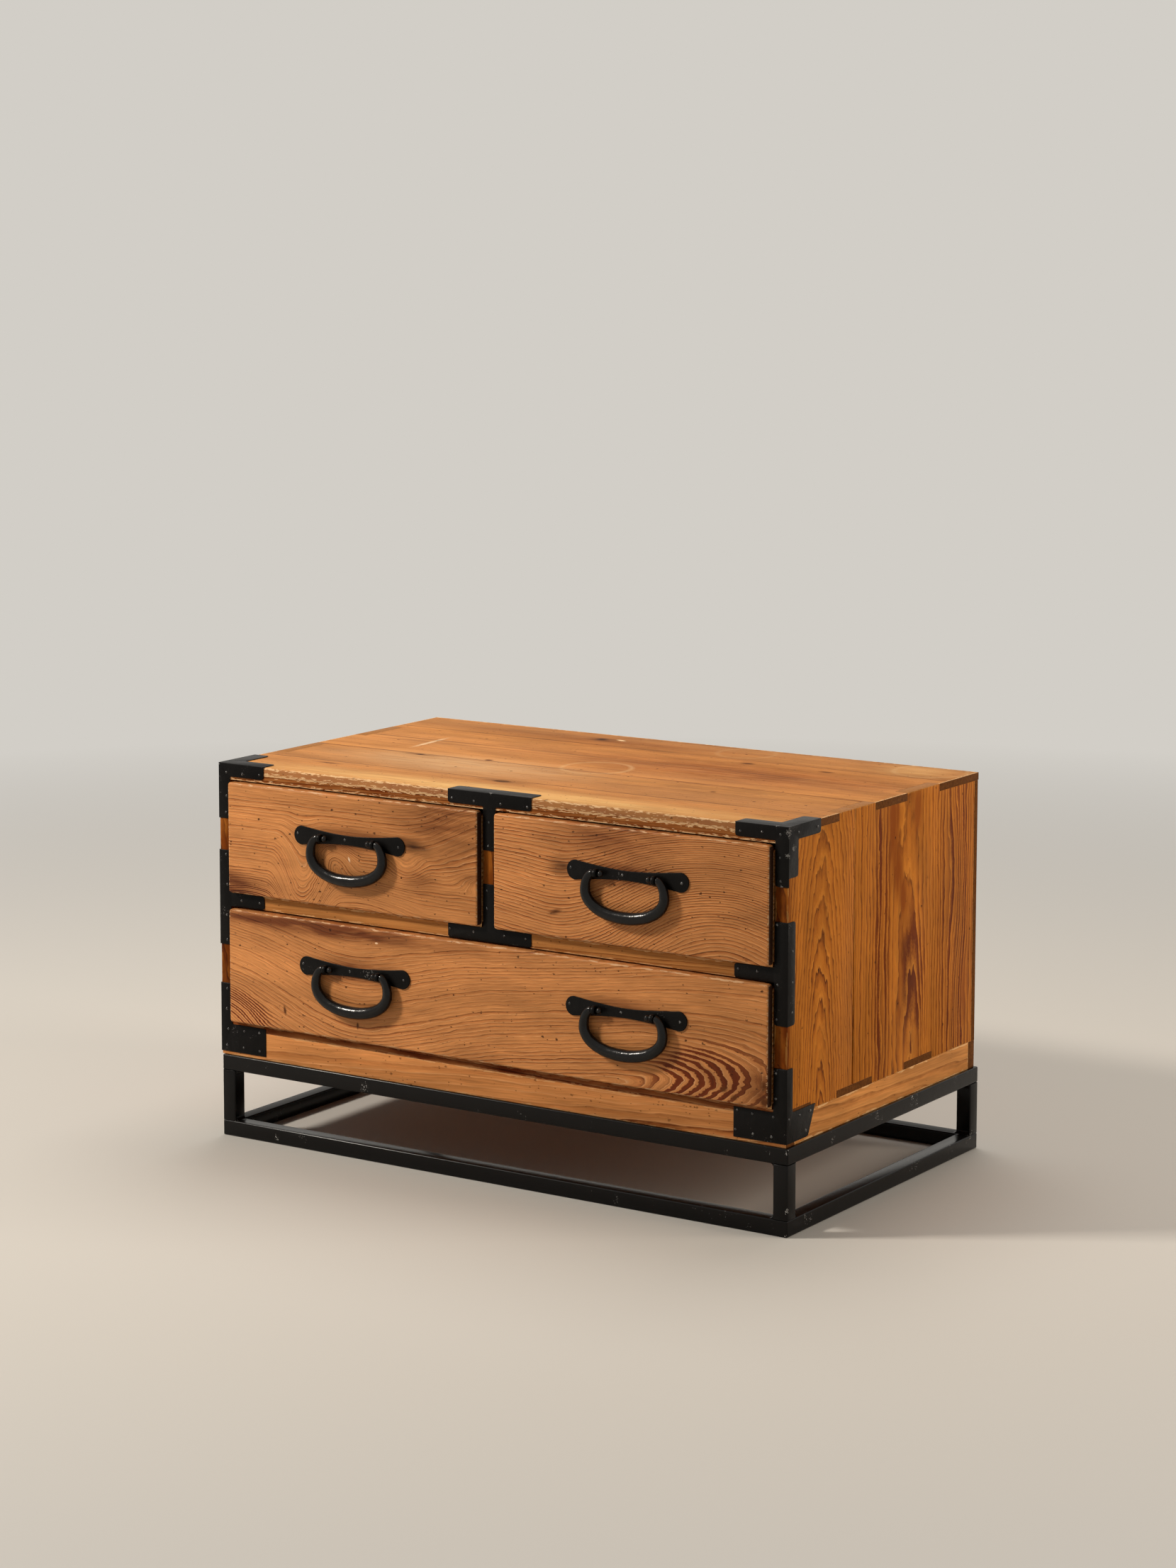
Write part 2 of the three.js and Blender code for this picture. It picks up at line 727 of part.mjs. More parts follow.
// A leg in one corner of the stand, between the two rings
function leg(name, toRight, toBack) {
  const geometry = plate(tubeSection(), 'flat', tubeSize, standHeight - tubeSize);
  const piece = mesh(name, geometry, blackSteel);
  piece.position.x = (toRight * (standWidth - tubeSize)) / 2;
  piece.position.y = (toBack * (standDepth - tubeSize)) / 2;
  return piece;
}

function stand() {
  const group = new THREE.Group();
  group.add(
    ...standRing('top', standHeight - tubeSize / 2),
    ...standRing('bottom', tubeSize / 2),
    leg('stand_leg_front_left', -1, -1),
    leg('stand_leg_front_right', 1, -1),
    leg('stand_leg_back_left', -1, 1),
    leg('stand_leg_back_right', 1, 1),
  );
  group.position.set(standShift, standDepth / 2 - standAhead, 0);
  return group;
}

const chest = new THREE.Group();
chest.add(...caseBoards(), ...irons(), ...drawers(), stand());

// The middle of the footprint, from the left irons to the stand's right face and from the bails to its back
const farRight = standShift + standWidth / 2;
const foremost = pivotY - bailFlatShare * bailMiddleRadius;
const rearmost = standDepth - standAhead;
chest.position.set((ironX - farRight) / 2, -(foremost + rearmost) / 2, 0);

export default chest;
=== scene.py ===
import json
import math

import bmesh
import bpy
from mathutils import Matrix, Vector, noise

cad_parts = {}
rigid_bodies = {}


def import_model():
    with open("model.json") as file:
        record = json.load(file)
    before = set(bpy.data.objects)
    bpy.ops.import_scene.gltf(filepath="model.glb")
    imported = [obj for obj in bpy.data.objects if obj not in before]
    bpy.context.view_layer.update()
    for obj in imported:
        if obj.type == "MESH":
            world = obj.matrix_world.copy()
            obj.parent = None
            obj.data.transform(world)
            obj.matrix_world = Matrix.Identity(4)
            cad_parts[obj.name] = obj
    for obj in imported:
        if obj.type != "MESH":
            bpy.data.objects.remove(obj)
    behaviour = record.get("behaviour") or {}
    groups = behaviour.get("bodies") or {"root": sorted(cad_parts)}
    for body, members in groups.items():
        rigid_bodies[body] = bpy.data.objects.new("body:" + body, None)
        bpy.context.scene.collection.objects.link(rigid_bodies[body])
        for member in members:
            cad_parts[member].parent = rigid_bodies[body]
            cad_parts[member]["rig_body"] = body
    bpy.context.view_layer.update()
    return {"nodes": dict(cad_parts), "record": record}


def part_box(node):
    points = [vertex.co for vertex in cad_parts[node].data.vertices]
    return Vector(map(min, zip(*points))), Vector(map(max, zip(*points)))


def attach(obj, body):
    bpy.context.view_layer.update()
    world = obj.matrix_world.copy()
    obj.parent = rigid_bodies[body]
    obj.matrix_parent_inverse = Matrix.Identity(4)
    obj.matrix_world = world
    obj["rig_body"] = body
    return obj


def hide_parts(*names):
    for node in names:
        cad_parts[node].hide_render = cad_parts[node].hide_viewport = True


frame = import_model()

MM = 0.001
# The middle of the case on the floor, in the solids' own frame; the plinth goes all around the case
plinth_low, plinth_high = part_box("plinth_front")[0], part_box("plinth_back")[1]
CASE_MIDDLE = (plinth_low + plinth_high) / (2 * MM)
CASE_MIDDLE.z = 0
DRAWERS = ("upper_left", "upper_right", "lower")
# Each handle with the drawer that it pulls
HANDLES = {
    "upper_left": "upper_left_drawer",
    "upper_right": "upper_right_drawer",
    "lower_left": "lower_drawer",
    "lower_right": "lower_drawer",
}


# Small helpers


def on_case(x, y, z):
    """A place given about the middle of the case, in the solids' own metres"""
    return (Vector((x, y, z)) + CASE_MIDDLE) * MM


def linear(colour):
    """An sRGB hex colour as linear red, green, blue and alpha"""
    parts = [int(colour[i : i + 2], 16) / 255 for i in (1, 3, 5)]
    return [p / 12.92 if p <= 0.04045 else ((p + 0.055) / 1.055) ** 2.4 for p in parts] + [1]


# What a node for a sum does with its two or three values
ADD, SUBTRACT, MULTIPLY, DIVIDE, MULTIPLY_ADD = (
    {"operation": name} for name in ("ADD", "SUBTRACT", "MULTIPLY", "DIVIDE", "MULTIPLY_ADD")
)
MINIMUM, MAXIMUM, ABSOLUTE, FLOOR, FRACTION = (
    {"operation": name} for name in ("MINIMUM", "MAXIMUM", "ABSOLUTE", "FLOOR", "FRACT")
)
GREATER, LESS, LENGTH, DISTANCE, SCALE = (
    {"operation": name} for name in ("GREATER_THAN", "LESS_THAN", "LENGTH", "DISTANCE", "SCALE")
)
MIX_COLOURS = {"data_type": "RGBA"}
ONE_NUMBER = {"noise_dimensions": "1D"}


def add(tree, kind, settings=None, inputs=()):
    """Adds a node with its settings. Its inputs, by name or in their order, are values to set,
    outputs to link, or nodes whose first live output is linked."""
    node = tree.nodes.new(kind)
    for name, value in (settings or {}).items():
        setattr(node, name, value)
    for key, value in inputs.items() if isinstance(inputs, dict) else enumerate(inputs):
        if isinstance(value, bpy.types.Node):
            value = next(output for output in value.outputs if output.enabled)
        if isinstance(value, bpy.types.NodeSocket):
            tree.links.new(value, node.inputs[key])
        else:
            node.inputs[key].default_value = value
    return node


def new_material(name):
    """A material and its node tree, emptied"""
    material = bpy.data.materials.new(name)
    material.use_nodes = True
    tree = material.node_tree
    tree.nodes.clear()
    return material, tree


# Wood


def board_place(tree, axes, face):
    """Millimetres on a board: X along its grain, Y across it and Z from its face into the wood"""
    object_place = add(tree, "ShaderNodeTexCoord").outputs["Object"]
    per_metre = (1 / MM, 1 / MM, 1 / MM)
    scaled = (object_place, per_metre, -CASE_MIDDLE)
    on_the_case = add(tree, "ShaderNodeVectorMath", MULTIPLY_ADD, scaled)
    parts = add(tree, "ShaderNodeSeparateXYZ", {}, [on_the_case])
    along, across, into = (parts.outputs["XYZ".index(axis)] for axis in axes)
    depth = add(tree, "ShaderNodeMath", SUBTRACT, (into, face))
    return add(tree, "ShaderNodeCombineXYZ", {}, (along, across, depth))


def spot(tree, place, centre, size, turn=0):
    """1 at a centre, falling smoothly to 0 at a size along and across, turned by degrees"""
    middle = (centre[0], centre[1], 0)
    reach = (size[0], size[1], 4 * max(size))
    settings = {"vector_type": "TEXTURE"}
    laid = (place, middle, (0, 0, math.radians(turn)), reach)
    near = add(tree, "ShaderNodeMapping", settings, laid)
    fall = add(tree, "ShaderNodeTexGradient", {"gradient_type": "SPHERICAL"}, [near]).outputs[1]
    return add(tree, "ShaderNodeMapRange", {"interpolation_type": "SMOOTHSTEP"}, [fall])


def ripple(tree, place, length, detail=2, offset=0):
    """Soft noise from 0 to 1, with waves of a length along, across and into the board"""
    scale = [1 / size for size in length]
    moves = {"Vector": place, "Location": (offset,) * 3, "Scale": scale}
    moved = add(tree, "ShaderNodeMapping", {}, moves)
    return add(tree, "ShaderNodeTexNoise", {}, {"Vector": moved, "Scale": 1, "Detail": detail})


def ring_number(tree, place, figure):
    """How many growth rings lie between the heart of the tree and a place on the board"""
    lean = [math.radians(angle) for angle in figure.get("lean", (0, 0, 0))]
    from_heart = (place, figure["heart"], lean, (1, 1, 1))
    in_tree = add(tree, "ShaderNodeMapping", {"vector_type": "TEXTURE"}, from_heart)
    along = add(tree, "ShaderNodeSeparateXYZ", {}, [place])
    depth = 0
    # From a start along the board, the heart dips away from the face with a slope
    for start, slope in figure.get("dips", ()):
        past = add(tree, "ShaderNodeMath", SUBTRACT, (along, start))
        past = add(tree, "ShaderNodeMath", MAXIMUM, (past, 0))
        depth = add(tree, "ShaderNodeMath", MULTIPLY_ADD, (past, slope, depth))
    depth = add(tree, "ShaderNodeCombineXYZ", {}, (0, 0, depth))
    in_tree = add(tree, "ShaderNodeVectorMath", ADD, (in_tree, depth))
    per_ring = 1 / figure["ring"]
    outward = add(tree, "ShaderNodeVectorMath", MULTIPLY, (in_tree, (0, per_ring, per_ring)))
    rings = add(tree, "ShaderNodeVectorMath", LENGTH, [outward])
    for centre, size, turn, count in figure.get("swells", ()):
        swell = spot(tree, place, centre, size, turn)
        rings = add(tree, "ShaderNodeMath", MULTIPLY_ADD, (swell, count, rings))
    for count, length in figure.get("ripples", ()):
        wave = ripple(tree, place, length)
        rings = add(tree, "ShaderNodeMath", MULTIPLY_ADD, (wave, 2 * count, rings))
    return rings


def seams(tree, across, places):
    """Which of several glued boards a place is on, and a line of dirt where two of them meet"""
    board, dirt = 0, 0
    for place in places:
        past = add(tree, "ShaderNodeMath", GREATER, (across, place))
        board = add(tree, "ShaderNodeMath", ADD, (board, past))
        apart = add(tree, "ShaderNodeMath", SUBTRACT, (across, place))
        apart = add(tree, "ShaderNodeMath", ABSOLUTE, [apart])
        line = add(tree, "ShaderNodeMapRange", {}, (apart, 0.3, 1.4, 0.8, 0))
        dirt = add(tree, "ShaderNodeMath", MAXIMUM, (dirt, line))
    return board, dirt


def wide_bands(tree, place, phase, chance, figure, looks):
    """Where autumn wood lies in wide bands, and how much of their dark colour shows there"""
    wide = 0
    for centre, size, turn, most in figure.get("bands", ()):
        here = add(tree, "ShaderNodeMath", MULTIPLY, (spot(tree, place, centre, size, turn), most))
        wide = add(tree, "ShaderNodeMath", MAXIMUM, (wide, here))
    wide = add(tree, "ShaderNodeMath", MINIMUM, (wide, 1))
    # The inner edge of each band is toothed
    teeth = add(tree, "ShaderNodeMath", MULTIPLY, (ripple(tree, place, (3.4, 2.6, 6), 2, 21), wide))
    toothed = add(tree, "ShaderNodeMath", MULTIPLY_ADD, (teeth, 0.5, phase))
    start, full = looks["band_width"]
    band = add(tree, "ShaderNodeMapRange", {}, (toothed, start, full, 0, 0.95))
    chosen = add(tree, "ShaderNodeMapRange", {}, (chance, 0.2, 0.4, 0.3, 1))
    for share in (chosen, wide):
        band = add(tree, "ShaderNodeMath", MULTIPLY, (band, share))
    return wide, band


def ring_strength(tree, place, rings, chance, contrast):
    """How dark a ring is. Rings differ one by one and in groups, and fade and come back
    along their length."""
    strength = add(tree, "ShaderNodeMapRange", {}, (chance, 0, 1, *contrast))
    group = add(tree, "ShaderNodeTexNoise", ONE_NUMBER, {"W": rings, "Scale": 0.23})
    group = add(tree, "ShaderNodeMapRange", {}, (group, 0.3, 0.7, 0.55, 1.25))
    broken = ripple(tree, place, (16, 3, 5), 2, 31)
    broken = add(tree, "ShaderNodeMapRange", {}, (broken, 0.3, 0.7, 0.5, 1.3))
    for share in (group, broken):
        strength = add(tree, "ShaderNodeMath", MULTIPLY, (strength, share))
    return add(tree, "ShaderNodeMath", MINIMUM, (strength, 1))


def ring_colour(tree, phase, strength, band, looks):
    """The colour across a ring, paler where the ring is weak and of one dark colour in a band"""
    ramp = add(tree, "ShaderNodeValToRGB", {}, [phase])
    stops = looks["ring"]
    while len(ramp.color_ramp.elements) < len(stops):
        ramp.color_ramp.elements.new(1)
    for element, (position, colour) in zip(ramp.color_ramp.elements, stops):
        element.position = position
        element.color = linear(colour)
    mixed = {0: strength, 6: linear(stops[1][1]), 7: ramp}
    colour = add(tree, "ShaderNodeMix", MIX_COLOURS, mixed)
    mixed = {0: band, 6: colour, 7: linear(looks["band"])}
    return add(tree, "ShaderNodeMix", MIX_COLOURS, mixed)


def fibre_streaks(tree, along, into, rings, size):
    """Fibres follow the rings. They are too fine for the render, so they are drawn coarser."""
    length, per_ring = size
    streak_along = add(tree, "ShaderNodeMath", DIVIDE, (along, length))
    streak_across = add(tree, "ShaderNodeMath", MULTIPLY, (rings, per_ring))
    streak_into = add(tree, "ShaderNodeMath", DIVIDE, (into, 3))
    streak = add(tree, "ShaderNodeCombineXYZ", {}, (streak_along, streak_across, streak_into))
    return add(tree, "ShaderNodeTexNoise", {}, {"Vector": streak, "Scale": 1, "Detail": 3})


CUP_MARK, SEAM_DIRT, HOLE_DIRT = "#e2c08c", "#4a2c1a", "#381a08"


def marked(tree, place, colour, dirt, figure):
    """The wood's colour under its marks: stains darken it; knots, rubbed places and patches of
    painted light cover it; a wet cup leaves a pale ring, and dirt lies in the seams"""
    uneven = ripple(tree, place, (60, 9, 20), 3, 13)
    uneven = add(tree, "ShaderNodeMapRange", {}, (uneven, 0.3, 0.7, 0.55, 1.45))
    for blend_type, marks in (("MULTIPLY", "stains"), ("MIX", "patches")):
        settings = dict(MIX_COLOURS, blend_type=blend_type)
        for centre, size, turn, mark_colour, most in figure.get(marks, ()):
            mark = spot(tree, place, centre, size, turn)
            mark = add(tree, "ShaderNodeMath", MULTIPLY, (mark, uneven))
            mark = add(tree, "ShaderNodeMath", MULTIPLY, (mark, most))
            mark = add(tree, "ShaderNodeMath", MINIMUM, (mark, 1))
            mixed = {0: mark, 6: colour, 7: linear(mark_colour)}
            colour = add(tree, "ShaderNodeMix", settings, mixed)
    for centre, radius, most in figure.get("cup_marks", ()):
        from_middle = add(tree, "ShaderNodeVectorMath", DISTANCE, (place, (*centre, 0)))
        off = add(tree, "ShaderNodeMath", SUBTRACT, (from_middle, radius))
        off = add(tree, "ShaderNodeMath", ABSOLUTE, [off])
        mark = add(tree, "ShaderNodeMapRange", {}, (off, 0.5, 5, most, 0))
        mark = add(tree, "ShaderNodeMath", MULTIPLY, (mark, uneven))
        mixed = {0: mark, 6: colour, 7: linear(CUP_MARK)}
        colour = add(tree, "ShaderNodeMix", MIX_COLOURS, mixed)
    dirt = add(tree, "ShaderNodeMath", MULTIPLY, (dirt, uneven))
    mixed = {0: dirt, 6: colour, 7: linear(SEAM_DIRT)}
    return add(tree, "ShaderNodeMix", MIX_COLOURS, mixed)


# How far the figure of each glued board is shifted from the last one's, along it and in rings
BOARD_SHIFT, BOARD_RINGS = 37.3, 11.37


def wood(name, figure, looks, box):
    """One board's wood. Its rings are cut by the board as they were by the saw, so the figure
    runs round its edges; the soft spring wood is worn lower than the hard autumn wood."""
    material, tree = new_material(name)
    place = board_place(tree, figure["axes"], figure.get("face", 0))
    along, across, into = add(tree, "ShaderNodeSeparateXYZ", {}, [place]).outputs
    # Boards that are glued side by side come from other places in the tree
    board, dirt = seams(tree, across, figure.get("seams", ()))
    shifted = add(tree, "ShaderNodeMath", MULTIPLY_ADD, (board, BOARD_SHIFT, along))
    own_place = add(tree, "ShaderNodeCombineXYZ", {}, (shifted, across, into))
    rings = ring_number(tree, own_place, figure)
    rings = add(tree, "ShaderNodeMath", MULTIPLY_ADD, (board, BOARD_RINGS, rings))
    # How far a place is through its ring, from spring to autumn, and a chance value for each ring
    phase = add(tree, "ShaderNodeMath", FRACTION, [rings])
    whole = add(tree, "ShaderNodeMath", FLOOR, [rings])
    chance = add(tree, "ShaderNodeTexWhiteNoise", ONE_NUMBER, {"W": whole}).outputs[0]
    wide, band = wide_bands(tree, place, phase, chance, figure, looks)
    strength = ring_strength(tree, place, rings, chance, looks["contrast"])
    colour = ring_colour(tree, phase, strength, band, looks)

    # The colour is streaked by the fibres, drifts softly over a board, and differs a little
    # from one glued board to the next
    fibre = fibre_streaks(tree, along, into, rings, looks["fibre"])
    cloud = ripple(tree, place, (130, 34, 60), 3, 7)
    tone = add(tree, "ShaderNodeMapRange", {}, (fibre, 0.3, 0.7, *looks["fibre_tone"]))
    cloud_tone = add(tree, "ShaderNodeMapRange", {}, (cloud, 0.3, 0.7, 0.8, 1.16))
    own_tone = add(tree, "ShaderNodeTexWhiteNoise", ONE_NUMBER, {"W": board}).outputs[0]
    own_tone = add(tree, "ShaderNodeMapRange", {}, (own_tone, 0, 1, 0.9, 1.1))
    for other in (cloud_tone, own_tone):
        tone = add(tree, "ShaderNodeMath", MULTIPLY, (tone, other))
    colour = add(tree, "ShaderNodeVectorMath", SCALE, {0: colour, "Scale": tone})
    colour = marked(tree, place, colour, dirt, figure)

    # Dents, worm holes and short scratches, with dirt in them
    holes = pits(tree, place, (15, 11, 9), looks["holes"], 0.15)
    nicks = pits(tree, place, (6, 3.6, 4), looks["holes"] / 3, 0.24)
    hole = add(tree, "ShaderNodeMath", MAXIMUM, (holes, nicks))
    filled = add(tree, "ShaderNodeMath", MULTIPLY, (hole, 0.85))
    colour = add(tree, "ShaderNodeMix", MIX_COLOURS, {0: filled, 6: colour, 7: linear(HOLE_DIRT)})

    # Edges rubbed pale by hands, the wear broken into flakes
    edge = edge_distance(tree, box)
    flake = ripple(tree, place, looks["flake"], 3, 3)
    reach = add(tree, "ShaderNodeMapRange", {}, (flake, 0.42, 0.66, 0, looks["rub"]))
    worn = add(tree, "ShaderNodeMath", LESS, (edge, reach))
    worn = add(tree, "ShaderNodeMath", MULTIPLY, (worn, looks["rub_amount"]))
    mixed = {0: worn, 6: colour, 7: linear(looks["rubbed"])}
    colour = add(tree, "ShaderNodeMix", MIX_COLOURS, mixed)

    # End grain drinks in dirt and wax, so it is darker; on the drawer fronts it is drawn nearly
    # black, partly as painted shade on their end faces
    darkest, palest = looks["end"]
    mottled = ripple(tree, place, (6, 3, 3), 3, 11)
    mixed = {0: mottled, 6: linear(darkest), 7: linear(palest)}
    end_colour = add(tree, "ShaderNodeMix", MIX_COLOURS, mixed)
    end = end_grain(tree, figure["axes"][0])
    colour = add(tree, "ShaderNodeMix", MIX_COLOURS, {0: end, 6: colour, 7: end_colour})

    # Heights in millimetres: ridges of autumn wood, lower where it lies in wide bands, then
    # fibres, holes, the board's own soft waves and the worn edges
    bare = add(tree, "ShaderNodeMath", MULTIPLY_ADD, (wide, -0.42, 1))
    ridge = add(tree, "ShaderNodeMapRange", {}, (phase, 0.72, 0.97, 0, looks["ridge"]))
    for part in (strength, bare):
        ridge = add(tree, "ShaderNodeMath", MULTIPLY, (ridge, part))
    height = ridge
    heights = ((fibre, looks["fibre_height"]), (hole, -0.6), (cloud, 0.5), (worn, -0.15))
    for source, most in heights:
        height = add(tree, "ShaderNodeMath", MULTIPLY_ADD, (source, most, height))
    bump = add(tree, "ShaderNodeBump", {}, {"Strength": 1, "Distance": MM, "Height": height})
    roughness = add(tree, "ShaderNodeMapRange", {}, (fibre, 0, 1, *looks["roughness"]))
    surface = {"Base Color": colour, "Roughness": roughness, "Normal": bump}
    surface["Specular IOR Level"] = looks["sheen"]
    shader = add(tree, "ShaderNodeBsdfPrincipled", {}, surface)
    add(tree, "ShaderNodeOutputMaterial", {}, {"Surface": shader})
    return material


def pits(tree, place, apart, share, radius):
    """Small ragged pits of many sizes, in a share of cells that are a length apart"""
    scale = [1 / size for size in apart]
    moved = add(tree, "ShaderNodeMapping", {}, {"Vector": place, "Scale": scale})
    cells = add(tree, "ShaderNodeTexVoronoi", {}, {"Vector": moved, "Scale": 1})
    first, second, third = add(tree, "ShaderNodeSeparateXYZ", {}, [cells.outputs["Color"]]).outputs
    few = add(tree, "ShaderNodeMath", LESS, (first, share))
    reach = add(tree, "ShaderNodeMapRange", {}, (second, 0, 1, 0.25 * radius, radius))
    ragged = ripple(tree, place, (2.2, 1.2, 1.6), 3, 17)
    away = add(tree, "ShaderNodeMath", MULTIPLY_ADD, (ragged, 0.3, cells.outputs["Distance"]))
    inside = add(tree, "ShaderNodeMath", SUBTRACT, (reach, away))
    depth = add(tree, "ShaderNodeMapRange", {}, (inside, -0.15, -0.11, 0, 1))
    own_depth = add(tree, "ShaderNodeMapRange", {}, (third, 0, 1, 0.35, 1))
    depth = add(tree, "ShaderNodeMath", MULTIPLY, (depth, own_depth))
    return add(tree, "ShaderNodeMath", MULTIPLY, (depth, few))


def edge_distance(tree, box):
    """Millimetres from the nearest edge of a board that fills a box"""
    object_place = add(tree, "ShaderNodeTexCoord").outputs["Object"]
    low = add(tree, "ShaderNodeVectorMath", SUBTRACT, (object_place, box[0]))
    high = add(tree, "ShaderNodeVectorMath", SUBTRACT, (box[1], object_place))
    nearest = add(tree, "ShaderNodeVectorMath", MINIMUM, (low, high))
    nearest = add(tree, "ShaderNodeVectorMath", SCALE, {0: nearest, "Scale": 1 / MM})
    x, y, z = add(tree, "ShaderNodeSeparateXYZ", {}, [nearest]).outputs
    # The distance to the second nearest face is the distance to the nearest edge
    larger = [add(tree, "ShaderNodeMath", MAXIMUM, pair) for pair in ((x, y), (y, z), (x, z))]
    least = add(tree, "ShaderNodeMath", MINIMUM, larger[:2])
    return add(tree, "ShaderNodeMath", MINIMUM, (least, larger[2]))


def end_grain(tree, along):
    """1 where a face cuts across the grain"""
    normal = add(tree, "ShaderNodeTexCoord").outputs["Normal"]
    facing = add(tree, "ShaderNodeSeparateXYZ", {}, [normal]).outputs["XYZ".index(along)]
    facing = add(tree, "ShaderNodeMath", ABSOLUTE, [facing])
    return add(tree, "ShaderNodeMapRange", {}, (facing, 0.7, 0.9))


# What the looks hold, all lengths in millimetres:
# ring: the colours across one growth ring, from spring to autumn
# contrast: how strongly the weakest and the strongest ring show
# band, band_width: the colour of wide autumn wood, and where in a ring it starts and is full
# fibre, fibre_tone: a fibre's length, how many lie across a ring, the darkest and the palest tone
# holes: the share of spots with a hole; rub, rub_amount, rubbed, flake: the reach of the wear
# at the edges, how much of it shows, its colour and the size of its flakes
# end: the darkest and the palest end grain; ridge, fibre_height: how high rings and fibres stand
# roughness: of the smoothest and the roughest fibre; sheen: the shine of the wax

# Old cedar, brushed and waxed for years: the fronts keep their raised grain. Each hard ring is a
# thin dark line, autumn wood darkened further by painted shade below its ridge, and the colour just
# past it is a pale crest that is a painted highlight
FRONT_LOOKS = {
    "ring": (
        # The first, pale stop is a painted highlight on each crest; the dark stop at 0.91 is autumn
        # wood with painted shade
        (0, "#e2aa76"),
        (0.16, "#c9874f"),
        (0.55, "#bb733e"),
        (0.8, "#9f5c2e"),
        (0.91, "#6b381a"),
        (0.975, "#a0643a"),
    ),
    "contrast": (0.08, 0.88),
    "band": "#66260a",
    "band_width": (0.66, 0.72),
    "fibre": (34, 5),
    "fibre_tone": (0.74, 1.22),
    "holes": 0.8,
    "rub": 2.4,
    "rub_amount": 0.75,
    "flake": (14, 2.6, 4),
    "rubbed": "#dcb083",
    # The end faces at the sides of the drawer fronts, nearly black: darker end grain and painted
    # shade
    "end": ("#24160f", "#4a2f20"),
    "ridge": 0.5,
    "fibre_height": 0.2,
    "roughness": (0.36, 0.56),
    "sheen": 0.13,
}
# Cedar that was planed and waxed: the sides are smooth and glow orange
SIDE_LOOKS = {
    "ring": (
        (0, "#ba762c"),
        (0.2, "#b46d25"),
        (0.55, "#a5601e"),
        (0.8, "#864715"),
        (0.93, "#54290b"),
        (0.985, "#864717"),
    ),
    "contrast": (0.5, 1.2),
    "band": "#62290a",
    "band_width": (0.35, 0.85),
    "fibre": (44, 6),
    "fibre_tone": (0.84, 1.14),
    "holes": 0.3,
    "rub": 1.8,
    "rub_amount": 0.35,
    "flake": (14, 2.6, 4),
    "rubbed": "#c99552",
    "end": ("#7a4a22", "#b47c42"),
    "ridge": 0.16,
    "fibre_height": 0.1,
    "roughness": (0.42, 0.6),
    "sheen": 0.05,
}
# Cedar worn by use: the top, the rails and the plinth are paler, smoother and duller
CASE_LOOKS = {
    "ring": (
        (0, "#c68d54"),
        (0.2, "#be8147"),
        (0.6, "#ac6e39"),
        (0.82, "#8f5429"),
        (0.94, "#693b1b"),
        (0.99, "#8d5529"),
    ),
    "contrast": (0.15, 1),
    "band": "#7d4a26",
    "band_width": (0.5, 0.8),
    "fibre": (70, 6),
    "fibre_tone": (0.8, 1.18),
    "holes": 0.3,
    "rub": 2.6,
    "rub_amount": 0.75,
    "flake": (14, 2.6, 4),
    "rubbed": "#e0b27c",
    "end": ("#3c2110", "#784a22"),
    "ridge": 0.12,
    "fibre_height": 0.12,
    "roughness": (0.44, 0.62),
    "sheen": 0.03,
}
# Bare cedar: inside the drawers and behind them the wood is dull
INNER_LOOKS = dict(CASE_LOOKS, roughness=(0.65, 0.8), ridge=0.1, contrast=(0.3, 0.9))

# Stains, which multiply the wood's colour by theirs, and the colours of patches, which cover it
# The first darkens places on the drawer fronts and the wood round the handle plates, the second the
# wood beside the plates' ends, the fourth the top towards its back
MAUVE_DARKENING, PLATE_END_DARKENING, EDGE_DIRT, GREYER_AT_BACK = "#8e766c", "#6a625f", "#a88a6c", "#cdb598"
# The last is the pale wear on the front edges of the top and the top rail, drawn bright also as a
# painted highlight
KNOT, DARK_KNOT, HEARTWOOD, EDGE_WEAR_AND_GLINT = "#5c3214", "#3a1e0b", "#85430f", "#ecc594"
# A reach past both ends of every board
ALL_ALONG = 2400
